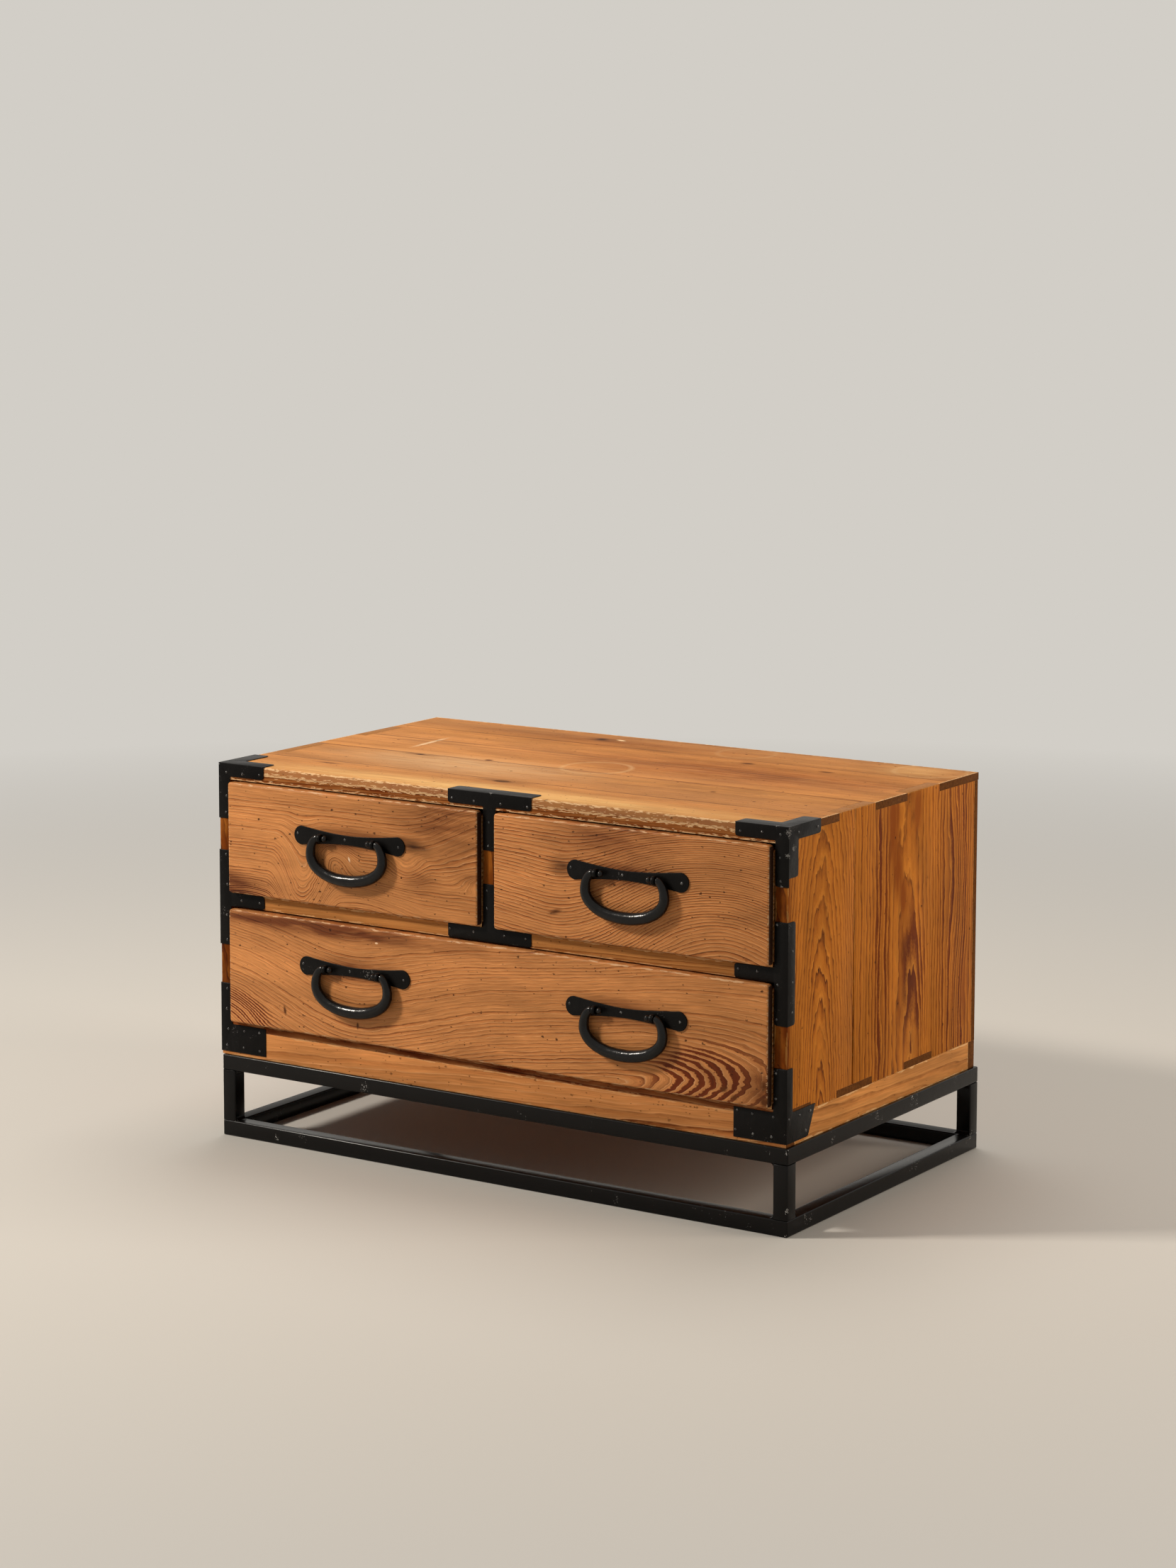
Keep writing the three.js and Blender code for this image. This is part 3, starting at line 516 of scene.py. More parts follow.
# The figures of the boards, in millimetres along the board, across it and into it from its face.
# axes: which of the chest's directions these are; face: where the face lies on the third
# heart, lean: where the middle of the tree lies, and how it is turned, in degrees
# ring: the thickness of a growth ring; dips: where the heart turns into the board, and its slope
# ripples: waves of the rings, each a height in rings and a length in three directions
# swells, bands, stains, patches: spots, each a centre, a reach along and across, a turn in
# degrees, for marks a colour, and how many rings or how much
# seams: where boards are glued together; cup_marks: a centre, a radius and how much
FRONT_FACE, SIDE_FACE, TOP_FACE = -231, 394, 455.5
FINE = ((0.5, (60, 14, 60)), (0.25, (22, 6, 22)))
SIDE_EDGE = (((290, -225), (400, 14), 0, EDGE_DIRT, 1.3),)
FIGURES = {
    "upper_left_drawer_front": {
        "axes": "XZY",
        "face": FRONT_FACE,
        "heart": (0, -700, 0),
        "ring": 3.9,
        "swells": (
            ((-262, 290), (58, 130), 0, 15),
            ((-216, 357), (42, 34), 0, -7),
            ((-345, 266), (80, 70), 0, -10),
            ((5, 352), (60, 20), 0, -4),
            ((-112, 355), (42, 28), 0, 4),
            ((-180, 290), (110, 70), 0, -6),
            ((10, 425), (130, 95), 0, -9),
        ),
        "bands": (((-340, 304), (75, 30), 0, 1.5),),
        "ripples": FINE,
        "stains": (
            ((-55, 420), (125, 62), 10, MAUVE_DARKENING, 0.65),
            ((-372, 312), (70, 26), 0, MAUVE_DARKENING, 1.1),
            # Darker round the handle plate
            ((-193, 383), (108, 24), 0, MAUVE_DARKENING, 0.8),
            # Darker beside the end of the handle plate
            ((-102, 384), (36, 14), -10, PLATE_END_DARKENING, 0.9),
            ((-90, 345), (36, 22), 0, MAUVE_DARKENING, 0.5),
            ((-15, 355), (34, 10), 0, MAUVE_DARKENING, 0.6),
        ),
        "patches": (((-194, 360), (1.8, 5), 20, "#f0d2b0", 1.2),),
    },
    "upper_right_drawer_front": {
        "axes": "XZY",
        "face": FRONT_FACE,
        "heart": (0, -700, 0),
        "ring": 3.7,
        "swells": (((320, 335), (240, 190), 0, -20), ((130, 330), (150, 120), 0, 4)),
        "ripples": FINE,
        "stains": (
            ((180, 425), (125, 46), 8, MAUVE_DARKENING, 0.65),
            ((193, 383), (108, 24), 0, MAUVE_DARKENING, 0.8),
            # Darker beside the end of the handle plate
            ((104, 384), (30, 16), 0, PLATE_END_DARKENING, 0.8),
        ),
        "patches": (((96, 331), (14, 4.5), 18, KNOT, 0.9),),
        "looks": {"contrast": (0.45, 1.2)},
    },
    "lower_drawer_front": {
        "axes": "XZY",
        "face": FRONT_FACE,
        "heart": (277, 161, 0),
        "lean": (0, 0, 8),
        "ring": 4.2,
        "dips": ((150, 0.12), (212, 0.16)),
        "swells": (
            ((-460, 190), (300, 260), 0, -20),
            ((-170, 150), (200, 200), 0, 4),
            ((-390, 140), (80, 70), 0, -7),
            ((80, 330), (330, 120), 0, 3),
        ),
        "bands": (
            ((300, 165), (110, 64), 8, 2.4),
            ((-350, 160), (70, 40), -20, 1.6),
            ((-170, 165), (120, 14), 0, 0.6),
        ),
        "ripples": FINE,
        "stains": (
            ((-240, 273), (330, 17), 0, MAUVE_DARKENING, 1.1),
            ((-187, 227), (108, 24), 0, MAUVE_DARKENING, 0.8),
            ((192, 227), (108, 24), 0, MAUVE_DARKENING, 0.8),
            ((368, 165), (34, 44), 0, MAUVE_DARKENING, 0.7),
        ),
        "patches": (
            ((320, 158), (8, 5), 20, KNOT, 1.3),
            ((333, 150), (7, 5), 0, KNOT, 1.3),
            ((371, 168), (8, 8), 0, KNOT, 1.3),
            ((371, 150), (7, 7), 0, KNOT, 1.3),
            ((-291, 168), (3, 9), 10, KNOT, 1.2),
            ((-183, 163), (2.4, 6), 0, KNOT, 1.6),
            ((-155, 265), (3, 1.5), 0, "#f0c9a0", 2),
        ),
    },
    "right_side_front_board": {
        "axes": "ZYX",
        "face": SIDE_FACE,
        "heart": (84, -148, 0),
        "lean": (0, 8, 0),
        "ring": 5,
        "ripples": ((0.7, (90, 22, 60)), (0.5, (20, 7, 22))),
        "stains": SIDE_EDGE,
    },
    "right_side_rear_board": {
        "axes": "ZYX",
        "face": SIDE_FACE,
        "heart": (300, 47, 44),
        "ring": 6.2,
        "swells": (
            ((455, 44), (180, 40), 0, 1.6),
            ((150, 78), (190, 44), 0, -2.6),
            ((330, 170), (140, 40), 0, -1.6),
            ((180, 185), (120, 30), 0, 1.2),
        ),
        "bands": (
            ((290, -10), (380, 26), 0, 1.8),
            ((240, 66), (120, 44), 0, 1.8),
            ((280, 175), (360, 76), 0, 1.6),
        ),
        "ripples": ((0.9, (120, 30, 60)), (0.4, (28, 8, 22))),
        "patches": (
            ((428, 17), (66, 22), 0, HEARTWOOD, 1.3),
            ((374, 26), (54, 19), -6, HEARTWOOD, 1.3),
            ((337, 40), (36, 13), -8, HEARTWOOD, 1.3),
            ((432, 74), (44, 14), 0, "#8d4a14", 1.1),
            ((200, 192), (60, 10), 0, "#8d4a14", 0.8),
        ),
    },
    "top_board": {
        "axes": "XYZ",
        "face": TOP_FACE,
        "heart": (0, -60, -34),
        "lean": (0, 0.8, 1.2),
        "ring": 3.4,
        "seams": (-134, -31, 66, 146),
        "ripples": ((0.9, (160, 30, 60)), (0.4, (50, 9, 22))),
        "stains": (
            # Greyer and darker towards the back of the top
            ((150, 60), (420, 110), 0, GREYER_AT_BACK, 0.9),
            ((-100, 170), (330, 60), 0, GREYER_AT_BACK, 0.7),
        ),
        "patches": (
            # Paler towards the front and the front left of the top, where the light falls most:
            # painted light
            ((0, -200), (560, 50), 0, "#e2b473", 0.7),
            ((-150, -70), (260, 90), 0, "#cfa577", 0.6),
            ((-277, 48), (5, 60), 4, "#dcb78d", 1.3),
            ((330, 190), (70, 60), 0, "#d8a86c", 0.5),
            ((-110, 183), (34, 17), 0, KNOT, 0.9),
            ((-113, 186), (12, 9), 0, DARK_KNOT, 1.5),
            ((-88, 192), (11, 5), -20, "#e8c79a", 1.2),
            ((135, 126), (14, 8), 0, KNOT, 1.1),
            ((245, 123), (16, 7), 0, KNOT, 1.1),
            ((-232, -37), (40, 5), 0, KNOT, 0.9),
            ((-232, -36), (9, 6), 0, DARK_KNOT, 1.2),
            ((-138, -25), (8, 6), 0, KNOT, 1.6),
            ((-285, -149), (26, 5), 0, KNOT, 0.9),
            ((205, -69), (6, 5), 0, KNOT, 1),
            ((-40, -142), (60, 9), 0, KNOT, 0.6),
            ((-37, -143), (17, 9), 0, "#55300c", 2.4),
            ((0, -228), (ALL_ALONG, 10), 0, "#a06a44", 2.2),
        ),
        "cup_marks": (((2, -2), 42, 0.22), ((345, 196), 44, 0.16), ((95, 190), 36, 0.1)),
        # Its front edge is rubbed pale and drawn bright also as a painted highlight
        "looks": {"holes": 0.7, "rub": 4, "rubbed": EDGE_WEAR_AND_GLINT, "flake": (8, 2, 1.4)},
    },
}


def plain_figure(axes, across, ring, seed):
    """The figure of a board whose grain runs nearly straight"""
    return {
        "axes": axes,
        "heart": (seed, across, 37),
        "lean": (0, 1.5, 0.8),
        "ring": ring,
        "ripples": ((0.6, (140, 22, 50)), (0.2, (40, 7, 20))),
    }


# Iron and steel


def blackened(name, scuffs, roughness, grey, sheen, hammered, knocks=()):
    """A black skin on iron or steel: near black, with dents of a depth in millimetres that bend
    its highlights. Bare grey metal shows at its scuffs, most of all at its knocks, which are
    places on the case with how far each reaches."""
    material, tree = new_material(name)
    object_place = add(tree, "ShaderNodeTexCoord").outputs["Object"]
    place = add(tree, "ShaderNodeVectorMath", SCALE, {0: object_place, "Scale": 1 / MM})
    dents = ripple(tree, place, (11, 11, 11), 2)
    grain = ripple(tree, place, (1.6, 1.6, 1.6), 3, 5)
    mottle = ripple(tree, place, (24, 24, 24), 4, 9)
    mixed = {0: mottle, 6: linear("#070606"), 7: linear("#100e0d")}
    colour = add(tree, "ShaderNodeMix", MIX_COLOURS, mixed)
    patches = add(tree, "ShaderNodeMath", MULTIPLY, (mottle, grain))
    worn = add(tree, "ShaderNodeMapRange", {}, (patches, 0.5 - scuffs, 0.56 - scuffs, 0, 0.7))
    for knock, reach in knocks:
        away = add(tree, "ShaderNodeVectorMath", DISTANCE, (place, on_case(*knock) / MM))
        near = add(tree, "ShaderNodeMapRange", {}, (away, 0, reach, 0.4, 0.95))
        knocked = add(tree, "ShaderNodeMath", SUBTRACT, (grain, near))
        knocked = add(tree, "ShaderNodeMapRange", {}, (knocked, 0, 0.06, 0, 0.95))
        worn = add(tree, "ShaderNodeMath", MAXIMUM, (worn, knocked))
    colour = add(tree, "ShaderNodeMix", MIX_COLOURS, {0: worn, 6: colour, 7: linear(grey)})
    height = add(tree, "ShaderNodeMath", MULTIPLY_ADD, (grain, 0.05, dents))
    relief = {"Strength": 1, "Distance": hammered * MM, "Height": height}
    bump = add(tree, "ShaderNodeBump", {}, relief)
    gloss = add(tree, "ShaderNodeMapRange", {}, (grain, 0, 1, *roughness))
    surface = {"Base Color": colour, "Roughness": gloss, "Normal": bump}
    surface["Specular IOR Level"] = sheen
    shader = add(tree, "ShaderNodeBsdfPrincipled", {}, surface)
    add(tree, "ShaderNodeOutputMaterial", {}, {"Surface": shader})
    return material


# Shapes

# Faces that meet at up to these angles are one flat face, or are shaded as one round face;
# edges with a sharper turn than the last are rounded
FLAT_ANGLE, SMOOTH_ANGLE, SHARP_ANGLE = (math.radians(angle) for angle in (1, 32, 50))
SAME_POINT, SAME_PLACE = 0.002 * MM, 0.01 * MM


def cad_copy(node):
    """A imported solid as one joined-up mesh with whole flat faces"""
    mesh = bmesh.new()
    mesh.from_mesh(frame["nodes"][node].data)
    bmesh.ops.remove_doubles(mesh, verts=mesh.verts, dist=SAME_POINT)
    bmesh.ops.dissolve_limit(mesh, angle_limit=FLAT_ANGLE, verts=mesh.verts, edges=mesh.edges)
    return mesh


def soften(mesh, width, segments=2):
    """Rounds the sharp edges of a mesh"""
    whole = [edge for edge in mesh.edges if edge.is_manifold]
    sharp = [edge for edge in whole if edge.calc_face_angle() > SHARP_ANGLE]
    bevel(mesh, sharp, width, segments)


def bevel(mesh, edges, width, segments):
    """Rounds some edges of a mesh"""
    settings = {"affect": "EDGES", "segments": segments, "profile": 0.5, "material": -1}
    settings.update(offset=width, offset_type="OFFSET", clamp_overlap=True)
    bmesh.ops.bevel(mesh, geom=edges, **settings)


def piece(name, mesh, body, material, stands_for=()):
    """Makes a mesh an object that rides on a body and stands for the solids it came from"""
    for face in mesh.faces:
        face.smooth = True
    for edge in mesh.edges:
        edge.smooth = not edge.is_manifold or edge.calc_face_angle() < SMOOTH_ANGLE
    data = bpy.data.meshes.new(name)
    mesh.to_mesh(data)
    mesh.free()
    data.materials.append(material)
    made = bpy.data.objects.new(name, data)
    bpy.context.scene.collection.objects.link(made)
    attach(made, body)
    if stands_for:
        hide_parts(*stands_for)


def paint(node, material):
    """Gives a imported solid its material"""
    slots = frame["nodes"][node].data.materials
    slots.clear()
    slots.append(material)


def slot_of(node):
    """The material slot that the part's record gives to a solid"""
    parts = frame["record"]["subparts"]
    return next(part["material_slot"] for part in parts if part["node"] == node)


# The boards

for node in ("left_side_front_board", "left_side_rear_board"):
    FIGURES[node] = dict(FIGURES[node.replace("left", "right")], face=-SIDE_FACE)
# Boards of straight grain: the directions along, across and into each one, how far across it
# the heart lies, the thickness of its rings, and a place along the tree that is its own
STRAIGHT = {
    "top_rail": ("XZY", -60, 3.5, 3),
    "mid_rail": ("XZY", -90, 3.2, 19),
    "plinth_front": ("XZY", -40, 5, 31),
    "plinth_back": ("XZY", -40, 5, 47),
    "plinth_left": ("YZX", -40, 5, 53),
    "plinth_right": ("YZX", -40, 5, 59),
    "bottom_board": ("XYZ", -300, 5, 61),
    "shelf": ("XYZ", -300, 5, 67),
    "back_panel": ("XZY", -300, 8, 71),
    "divider": ("ZYX", -300, 6, 73),
}
for number, drawer in enumerate(DRAWERS):
    for side in ("left_side", "right_side"):
        STRAIGHT[f"{drawer}_drawer_{side}"] = ("YZX", -60, 5, 80 + number)
    STRAIGHT[f"{drawer}_drawer_back"] = ("XZY", -60, 5, 90 + number)
    STRAIGHT[f"{drawer}_drawer_bottom"] = ("XYZ", -300, 7, 95 + number)
for node, values in STRAIGHT.items():
    FIGURES[node] = plain_figure(*values)
# The front edges of these boards are handled or kicked the most; on the top rail the pale wear is
# drawn bright also as a painted highlight
FIGURES["top_rail"]["looks"] = {
    "contrast": (0.7, 1.3),
    "rub": 3.4,
    "rubbed": EDGE_WEAR_AND_GLINT,
    "flake": (8, 1.4, 2),
}
FIGURES["top_rail"]["stains"] = (((0, 440), (ALL_ALONG, ALL_ALONG), 0, "#a8846c", 0.7),)
FIGURES["bottom_board"]["looks"] = {
    # The fronts' ring colours, with their painted highlight on each crest and painted shade in each
    # groove
    "ring": FRONT_LOOKS["ring"],
    "contrast": (0.6, 1.3),
    "holes": 0.8,
    "rub_amount": 0.2,
}
FIGURES["bottom_board"]["stains"] = (((0, -222), (ALL_ALONG, 40), 0, "#86605a", 0.7),)
FIGURES["divider"]["stains"] = (((370, 0), (ALL_ALONG, ALL_ALONG), 0, EDGE_DIRT, 1),)
FIGURES["plinth_front"]["looks"] = {
    # The fronts' ring colours, with their painted highlight on each crest and painted shade in each
    # groove
    "ring": FRONT_LOOKS["ring"],
    "contrast": (0.1, 0.9),
    "holes": 1,
    "rub_amount": 0.4,
}
FIGURES["plinth_right"]["looks"] = FIGURES["plinth_left"]["looks"] = {"contrast": (0.1, 0.6)}
SLOT_LOOKS = {
    "front_wood": FRONT_LOOKS,
    "side_wood": SIDE_LOOKS,
    "case_wood": CASE_LOOKS,
    "inner_wood": INNER_LOOKS,
}
# Boards whose edges show and are worn round
WORN_EDGE = 0.5 * MM
WORN_BOARDS = ["top_board", "mid_rail"]
WORN_BOARDS += [f"plinth_{side}" for side in ("front", "back", "left", "right")]
for side in ("left", "right"):
    WORN_BOARDS += [f"{side}_side_front_board", f"{side}_side_rear_board"]
WORN_BOARDS += [f"{drawer}_drawer_front" for drawer in DRAWERS]
for node, figure in FIGURES.items():
    slot = slot_of(node)
    looks = dict(SLOT_LOOKS[slot], **figure.get("looks", {}))
    material = wood(f"waxed_cedar_{node}", figure, looks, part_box(node))
    body = frame["nodes"][node]["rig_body"]
    if node in WORN_BOARDS:
        board = cad_copy(node)
        soften(board, WORN_EDGE)
        piece(f"{node}_worn", board, body, material, [node])
    else:
        paint(node, material)

# The irons

# Nails in the front of the case, in millimetres across from its middle and up from the floor
FRONT_NAILS = {
    "iron_top_left": ((-383, 445.3), (-358.8, 445.1), (-333, 446.3), (-383, 416.8), (-384, 396.8)),
    "iron_top_right": ((333.6, 446.2), (361.2, 448), (384.5, 447.3), (383.8, 421.8), (384.8, 396)),
    "iron_top_centre": ((-51.9, 445.6), (-21.1, 444.9), (16, 445), (52.6, 445.3))
    + ((-0.3, 422), (-1.3, 395.2)),
    "iron_mid_centre": ((-55, 293), (-22, 293), (21, 293), (50.5, 293), (-3, 322), (-3, 343)),
    "iron_mid_left": ((-384.5, 345.3), (-383, 309), (-361.5, 291), (-334, 291))
    + ((-384, 271.5), (-384, 241)),
    "iron_mid_right": ((332, 293), (356.5, 293), (382, 281), (380.8, 347.6), (381, 242.5)),
    "iron_bottom_left": ((-385, 181), (-386, 156), (-384, 131.5), (-359.5, 131.5), (-336.5, 132.5))
    + ((-386, 111.5), (-360.5, 111), (-336.5, 110)),
    "iron_bottom_right": ((381, 182.5), (381, 154), (378, 133), (351.5, 133), (332, 134.5))
    + ((376, 110.5), (352.5, 110.5), (330, 112.5)),
}
# Nails in the sides, in millimetres behind the front of the case and up from the floor
SIDE_NAILS = {
    "top": ((20, 448), (62, 448)),
    "mid": ((9, 318), (9, 283.5), (9, 250)),
    "bottom": ((4, 131.5), (27.5, 131.5), (51, 131.5)),
}
NAIL_RADIUS = 1.7 * MM
NAIL_HEIGHT = 0.9 * MM
# The left side, which the photo doesn't show, is the chest's widest place: its nails are flat
FLAT_NAIL_HEIGHT = 0.3 * MM
PLATE_NAIL_HEIGHT = 0.8 * MM
# The thickness of the sheet, the radius of its bends and the roundness of its cut edges
SHEET = 1 * MM
BEND_RADIUS = 0.8 * MM
SHEET_EDGE = 0.25 * MM


def nail(mesh, head, facing, height=NAIL_HEIGHT):
    """Drives a domed nail into a face, its head at a place and facing a direction"""
    turn = Vector((0, 0, 1)).rotation_difference(Vector(facing)).to_matrix().to_4x4()
    dome = Matrix.Diagonal((NAIL_RADIUS, NAIL_RADIUS, height, 1))
    matrix = Matrix.Translation(head) @ turn @ dome
    bmesh.ops.create_uvsphere(mesh, u_segments=12, v_segments=8, radius=1, matrix=matrix)


def iron_nails(node):
    """All the nails of one iron, on its front and on its side"""
    low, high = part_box(node)
    mesh = bmesh.new()
    for x, z in FRONT_NAILS[node]:
        nail(mesh, (on_case(x, 0, z).x, low.y, z * MM), (0, -1, 0))
    if not node.endswith("centre"):
        right = node.endswith("right")
        height = NAIL_HEIGHT if right else FLAT_NAIL_HEIGHT
        for back, z in SIDE_NAILS[node.split("_")[1]]:
            head = (high.x if right else low.x, low.y + SHEET + back * MM, z * MM)
            nail(mesh, head, (1 if right else -1, 0, 0), height)
    return mesh


def round_bends(mesh, box):
    """Rounds the bends of a bent sheet: the edges where its front meets its side or its top"""
    low, high = box

    def lies_at(edge, axis, level):
        return all(abs(vert.co[axis] - level) < SAME_PLACE for vert in edge.verts)

    def on_bend(edge):
        other_faces = ((0, high.x), (0, low.x), (2, high.z))
        return lies_at(edge, 1, low.y) and any(lies_at(edge, *face) for face in other_faces)

    bevel(mesh, [edge for edge in mesh.edges if on_bend(edge)], BEND_RADIUS, 3)


# Places on the irons where the black is knocked off, and how far each reaches, in millimetres.
# The top right corner has been knocked the hardest.
IRON_KNOCKS = (
    ((396, -222, 450), 15),
    ((396, -212, 432), 12),
    ((394, -223, 424), 9),
    ((395, -204, 397), 9),
    ((386, -223, 389), 8),
    ((395, -222, 353), 7),
    ((380, -222, 456), 8),
    ((-394, -223, 455), 6),
    ((2, -222, 456), 9),
    ((395, -180, 112), 7),
)
# Iron sheet, blackened in the fire and waxed: a soft dull black with grey scuffs
look = (0.09, (0.3, 0.44), "#72706e", 0.1, 0.7)
iron_finish = blackened("blackened_iron_sheet", *look, IRON_KNOCKS)
# Forged bar, blackened and polished by hands: darker, with sharp highlights along its rounds
look = (0.06, (0.14, 0.25), "#5b5958", 0.26, 0.7)
forged_finish = blackened("blackened_forged_iron", *look)
# Nail heads stand proud and are rubbed bright, so that each dome catches the light
look = (0.22, (0.16, 0.28), "#7c7a78", 0.6, 0.7)
nail_finish = blackened("iron_nails_rubbed_bright", *look)
for node in FRONT_NAILS:
    sheet = cad_copy(node)
    round_bends(sheet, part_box(node))
    soften(sheet, SHEET_EDGE)
    piece(f"{node}_sheet", sheet, "case", iron_finish, [node])
    piece(f"{node}_nails", iron_nails(node), "case", nail_finish)

# The handles

PLATE_THICKNESS = 1.5 * MM
PLATE_BEVEL = 0.3 * MM
PLATE_NAILS = ((-75, 2), (-6, 0.5), (71.5, -0.5))
EYE_APART = 77 * MM
EYE_HOLE = 2.9 * MM
EYE_WALL = 2.4 * MM
EYE_WIDTH = 5 * MM
POST_RADIUS = 2.2 * MM
POST_FOOT_RADIUS = 3.4 * MM
BALL_PLACE = 31.9 * MM
BALL_RADIUS = 3.6 * MM
# Lines in millimetres, across and up: each point is followed by the bar's radius there
# and by the two handles of the curve
PLATE_QUARTER = (
    ((0, 5.4), 1, (-23, 5.4), (23, 5.4)),
    ((69.2, 11.2), 1, (57, 9.5), (75.3, 11.6)),
    ((80.4, 0), 1, (80.4, 6.2), (80.4, -6.2)),
)
BAIL_HALF = (
    ((-31.9, 0), 2.4, (-30, 0), (-34, 0)),
    ((-41, 0), 2.4, (-40.5, 0), (-41.2, 0)),
    ((-42.4, -0.1), 4.2, (-42, 0), (-46, -0.4)),
    ((-52.3, -19.3), 6, (-52.3, -6.7), (-52.3, -35.4)),
    ((0, -47), 7.4, (-30.3, -47), (30.3, -47)),
)
# How thick the bar is from front to back for its height
BAIL_FLATNESS = 0.88
HAMMER_DEPTH, HAMMER_SIZE = 0.3 * MM, 7 * MM


def flipped(points, across, up):
    """The same line run backwards and mirrored"""
    turned = []
    for (x, z), radius, (before_x, before_z), (after_x, after_z) in reversed(points):
        before, after = (before_x * across, before_z * up), (after_x * across, after_z * up)
        turned.append(((x * across, z * up), radius, after, before))
    return turned


def curve_mesh(settings, points, closed=False):
    """A mesh of a curve through points, standing up in the chest's own directions"""
    curve = bpy.data.curves.new("line", "CURVE")
    for name, value in settings.items():
        setattr(curve, name, value)
    line = curve.splines.new("BEZIER")
    line.use_cyclic_u = closed
    line.bezier_points.add(len(points) - 1)
    for point, (place, radius, before, after) in zip(line.bezier_points, points):
        point.co = Vector((*place, 0)) * MM
        point.handle_left = Vector((*before, 0)) * MM
        point.handle_right = Vector((*after, 0)) * MM
        point.radius = radius
    holder = bpy.data.objects.new("line", curve)
    mesh = bmesh.new()
    mesh.from_mesh(holder.to_mesh())
    bpy.data.objects.remove(holder)
    bmesh.ops.remove_doubles(mesh, verts=mesh.verts, dist=SAME_PLACE)
    bmesh.ops.rotate(mesh, verts=mesh.verts, matrix=Matrix.Rotation(math.pi / 2, 3, "X"))
    return mesh


def bail(hinge):
    """A forged bar that thickens to the middle of its grip, with a ball behind each eye"""
    settings = {"dimensions": "3D", "bevel_depth": MM, "bevel_resolution": 8, "resolution_u": 24}
    points = list(BAIL_HALF) + flipped(BAIL_HALF[:-1], -1, 1)
    mesh = curve_mesh(dict(settings, use_fill_caps=True), points)
    bmesh.ops.scale(mesh, verts=mesh.verts, vec=(1, BAIL_FLATNESS, 1))
    for x in (-BALL_PLACE, BALL_PLACE):
        matrix = Matrix.Translation((x, 0, 0)) @ Matrix.Rotation(math.pi / 2, 4, "Y")
        ball = {"u_segments": 20, "v_segments": 12, "radius": BALL_RADIUS}
        bmesh.ops.create_uvsphere(mesh, matrix=matrix, **ball)
    bmesh.ops.translate(mesh, verts=mesh.verts, vec=hinge)
    bmesh.ops.recalc_face_normals(mesh, faces=mesh.faces)
    hammer(mesh)
    return mesh


def hammer(mesh):
    """Dents a forged piece softly, so that its highlights break up"""
    mesh.normal_update()
    for vert in mesh.verts:
        broad = noise.noise(vert.co / HAMMER_SIZE)
        small = noise.noise(vert.co / (0.4 * HAMMER_SIZE))
        vert.co -= vert.normal * max(broad + 0.4 * small, 0) * HAMMER_DEPTH


def handle_plate(hinge, face):
    """A waisted plate with round ends, and the two eyes that stand on it"""
    top = list(PLATE_QUARTER) + flipped(PLATE_QUARTER[:-1], 1, -1)
    around = top + flipped(top[1:-1], -1, 1)
    half = PLATE_THICKNESS / 2 - PLATE_BEVEL
    settings = {"dimensions": "2D", "fill_mode": "BOTH", "extrude": half}
    settings.update(bevel_depth=PLATE_BEVEL, bevel_resolution=2, offset=-PLATE_BEVEL)
    mesh = curve_mesh(settings, around, closed=True)
    middle = (hinge.x, face - PLATE_THICKNESS / 2, hinge.z)
    bmesh.ops.translate(mesh, verts=mesh.verts, vec=middle)
    for side in (-1, 1):
        eye(mesh, hinge + Vector((side * EYE_APART / 2, 0, 0)), face)
    bmesh.ops.recalc_face_normals(mesh, faces=mesh.faces)
    return mesh


def plate_nails(hinge, face):
    """The three nails that hold a handle's plate to its drawer"""
    mesh = bmesh.new()
    for x, z in PLATE_NAILS:
        head = (hinge.x + x * MM, face - PLATE_THICKNESS, hinge.z + z * MM)
        nail(mesh, head, (0, -1, 0), PLATE_NAIL_HEIGHT)
    return mesh


def eye(mesh, middle, face):
    """A thick ring whose hole runs across the chest, on a post that spreads at its foot"""
    section = Matrix.Diagonal((EYE_WIDTH / 2, EYE_WALL / 2, 1, 1))
    stood_up = Matrix.Rotation(math.pi / 2, 4, "X")
    above = Matrix.Translation(middle + Vector((0, 0, EYE_HOLE + EYE_WALL / 2))) @ stood_up
    ring = bmesh.ops.create_circle(mesh, segments=16, radius=1, matrix=above @ section)["verts"]
    edges = list({edge for vert in ring for edge in vert.link_edges})
    turn = {"cent": middle, "axis": (1, 0, 0), "angle": 2 * math.pi, "steps": 32, "use_merge": True}
    bmesh.ops.spin(mesh, geom=ring + edges, **turn)
    near = middle.y + EYE_HOLE + EYE_WALL / 2
    centre = Vector((middle.x, (near + face) / 2, middle.z))
    post = {"segments": 24, "radius1": POST_FOOT_RADIUS, "radius2": POST_RADIUS}
    post.update(depth=face - near, cap_ends=True, matrix=Matrix.Translation(centre) @ stood_up)
    bmesh.ops.create_cone(mesh, **post)


for name, drawer in HANDLES.items():
    plate_node, bail_node = f"{name}_handle_plate", f"{name}_handle_bail"
    plate_low, plate_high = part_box(plate_node)
    bail_low, bail_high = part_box(bail_node)
    hinge = (plate_low + plate_high) / 2
    hinge.y = (bail_low.y + bail_high.y) / 2
    made = handle_plate(hinge, plate_high.y)
    piece(f"{plate_node}_forged", made, drawer, iron_finish, [plate_node])
    made = plate_nails(hinge, plate_high.y)
    piece(f"{name}_handle_nails", made, drawer, nail_finish)
    made = bail(hinge)
    piece(f"{bail_node}_forged", made, f"{name}_bail", forged_finish, [bail_node])

# The stand

TUBE_EDGE = 1.2 * MM
WELD_RADIUS = 5 * MM
WELD_SINK = 0.4 * MM
WELD_STEPS = 5
# How much of a tube's side is flat, between its rounded edges
FLAT_SHARE = 0.78


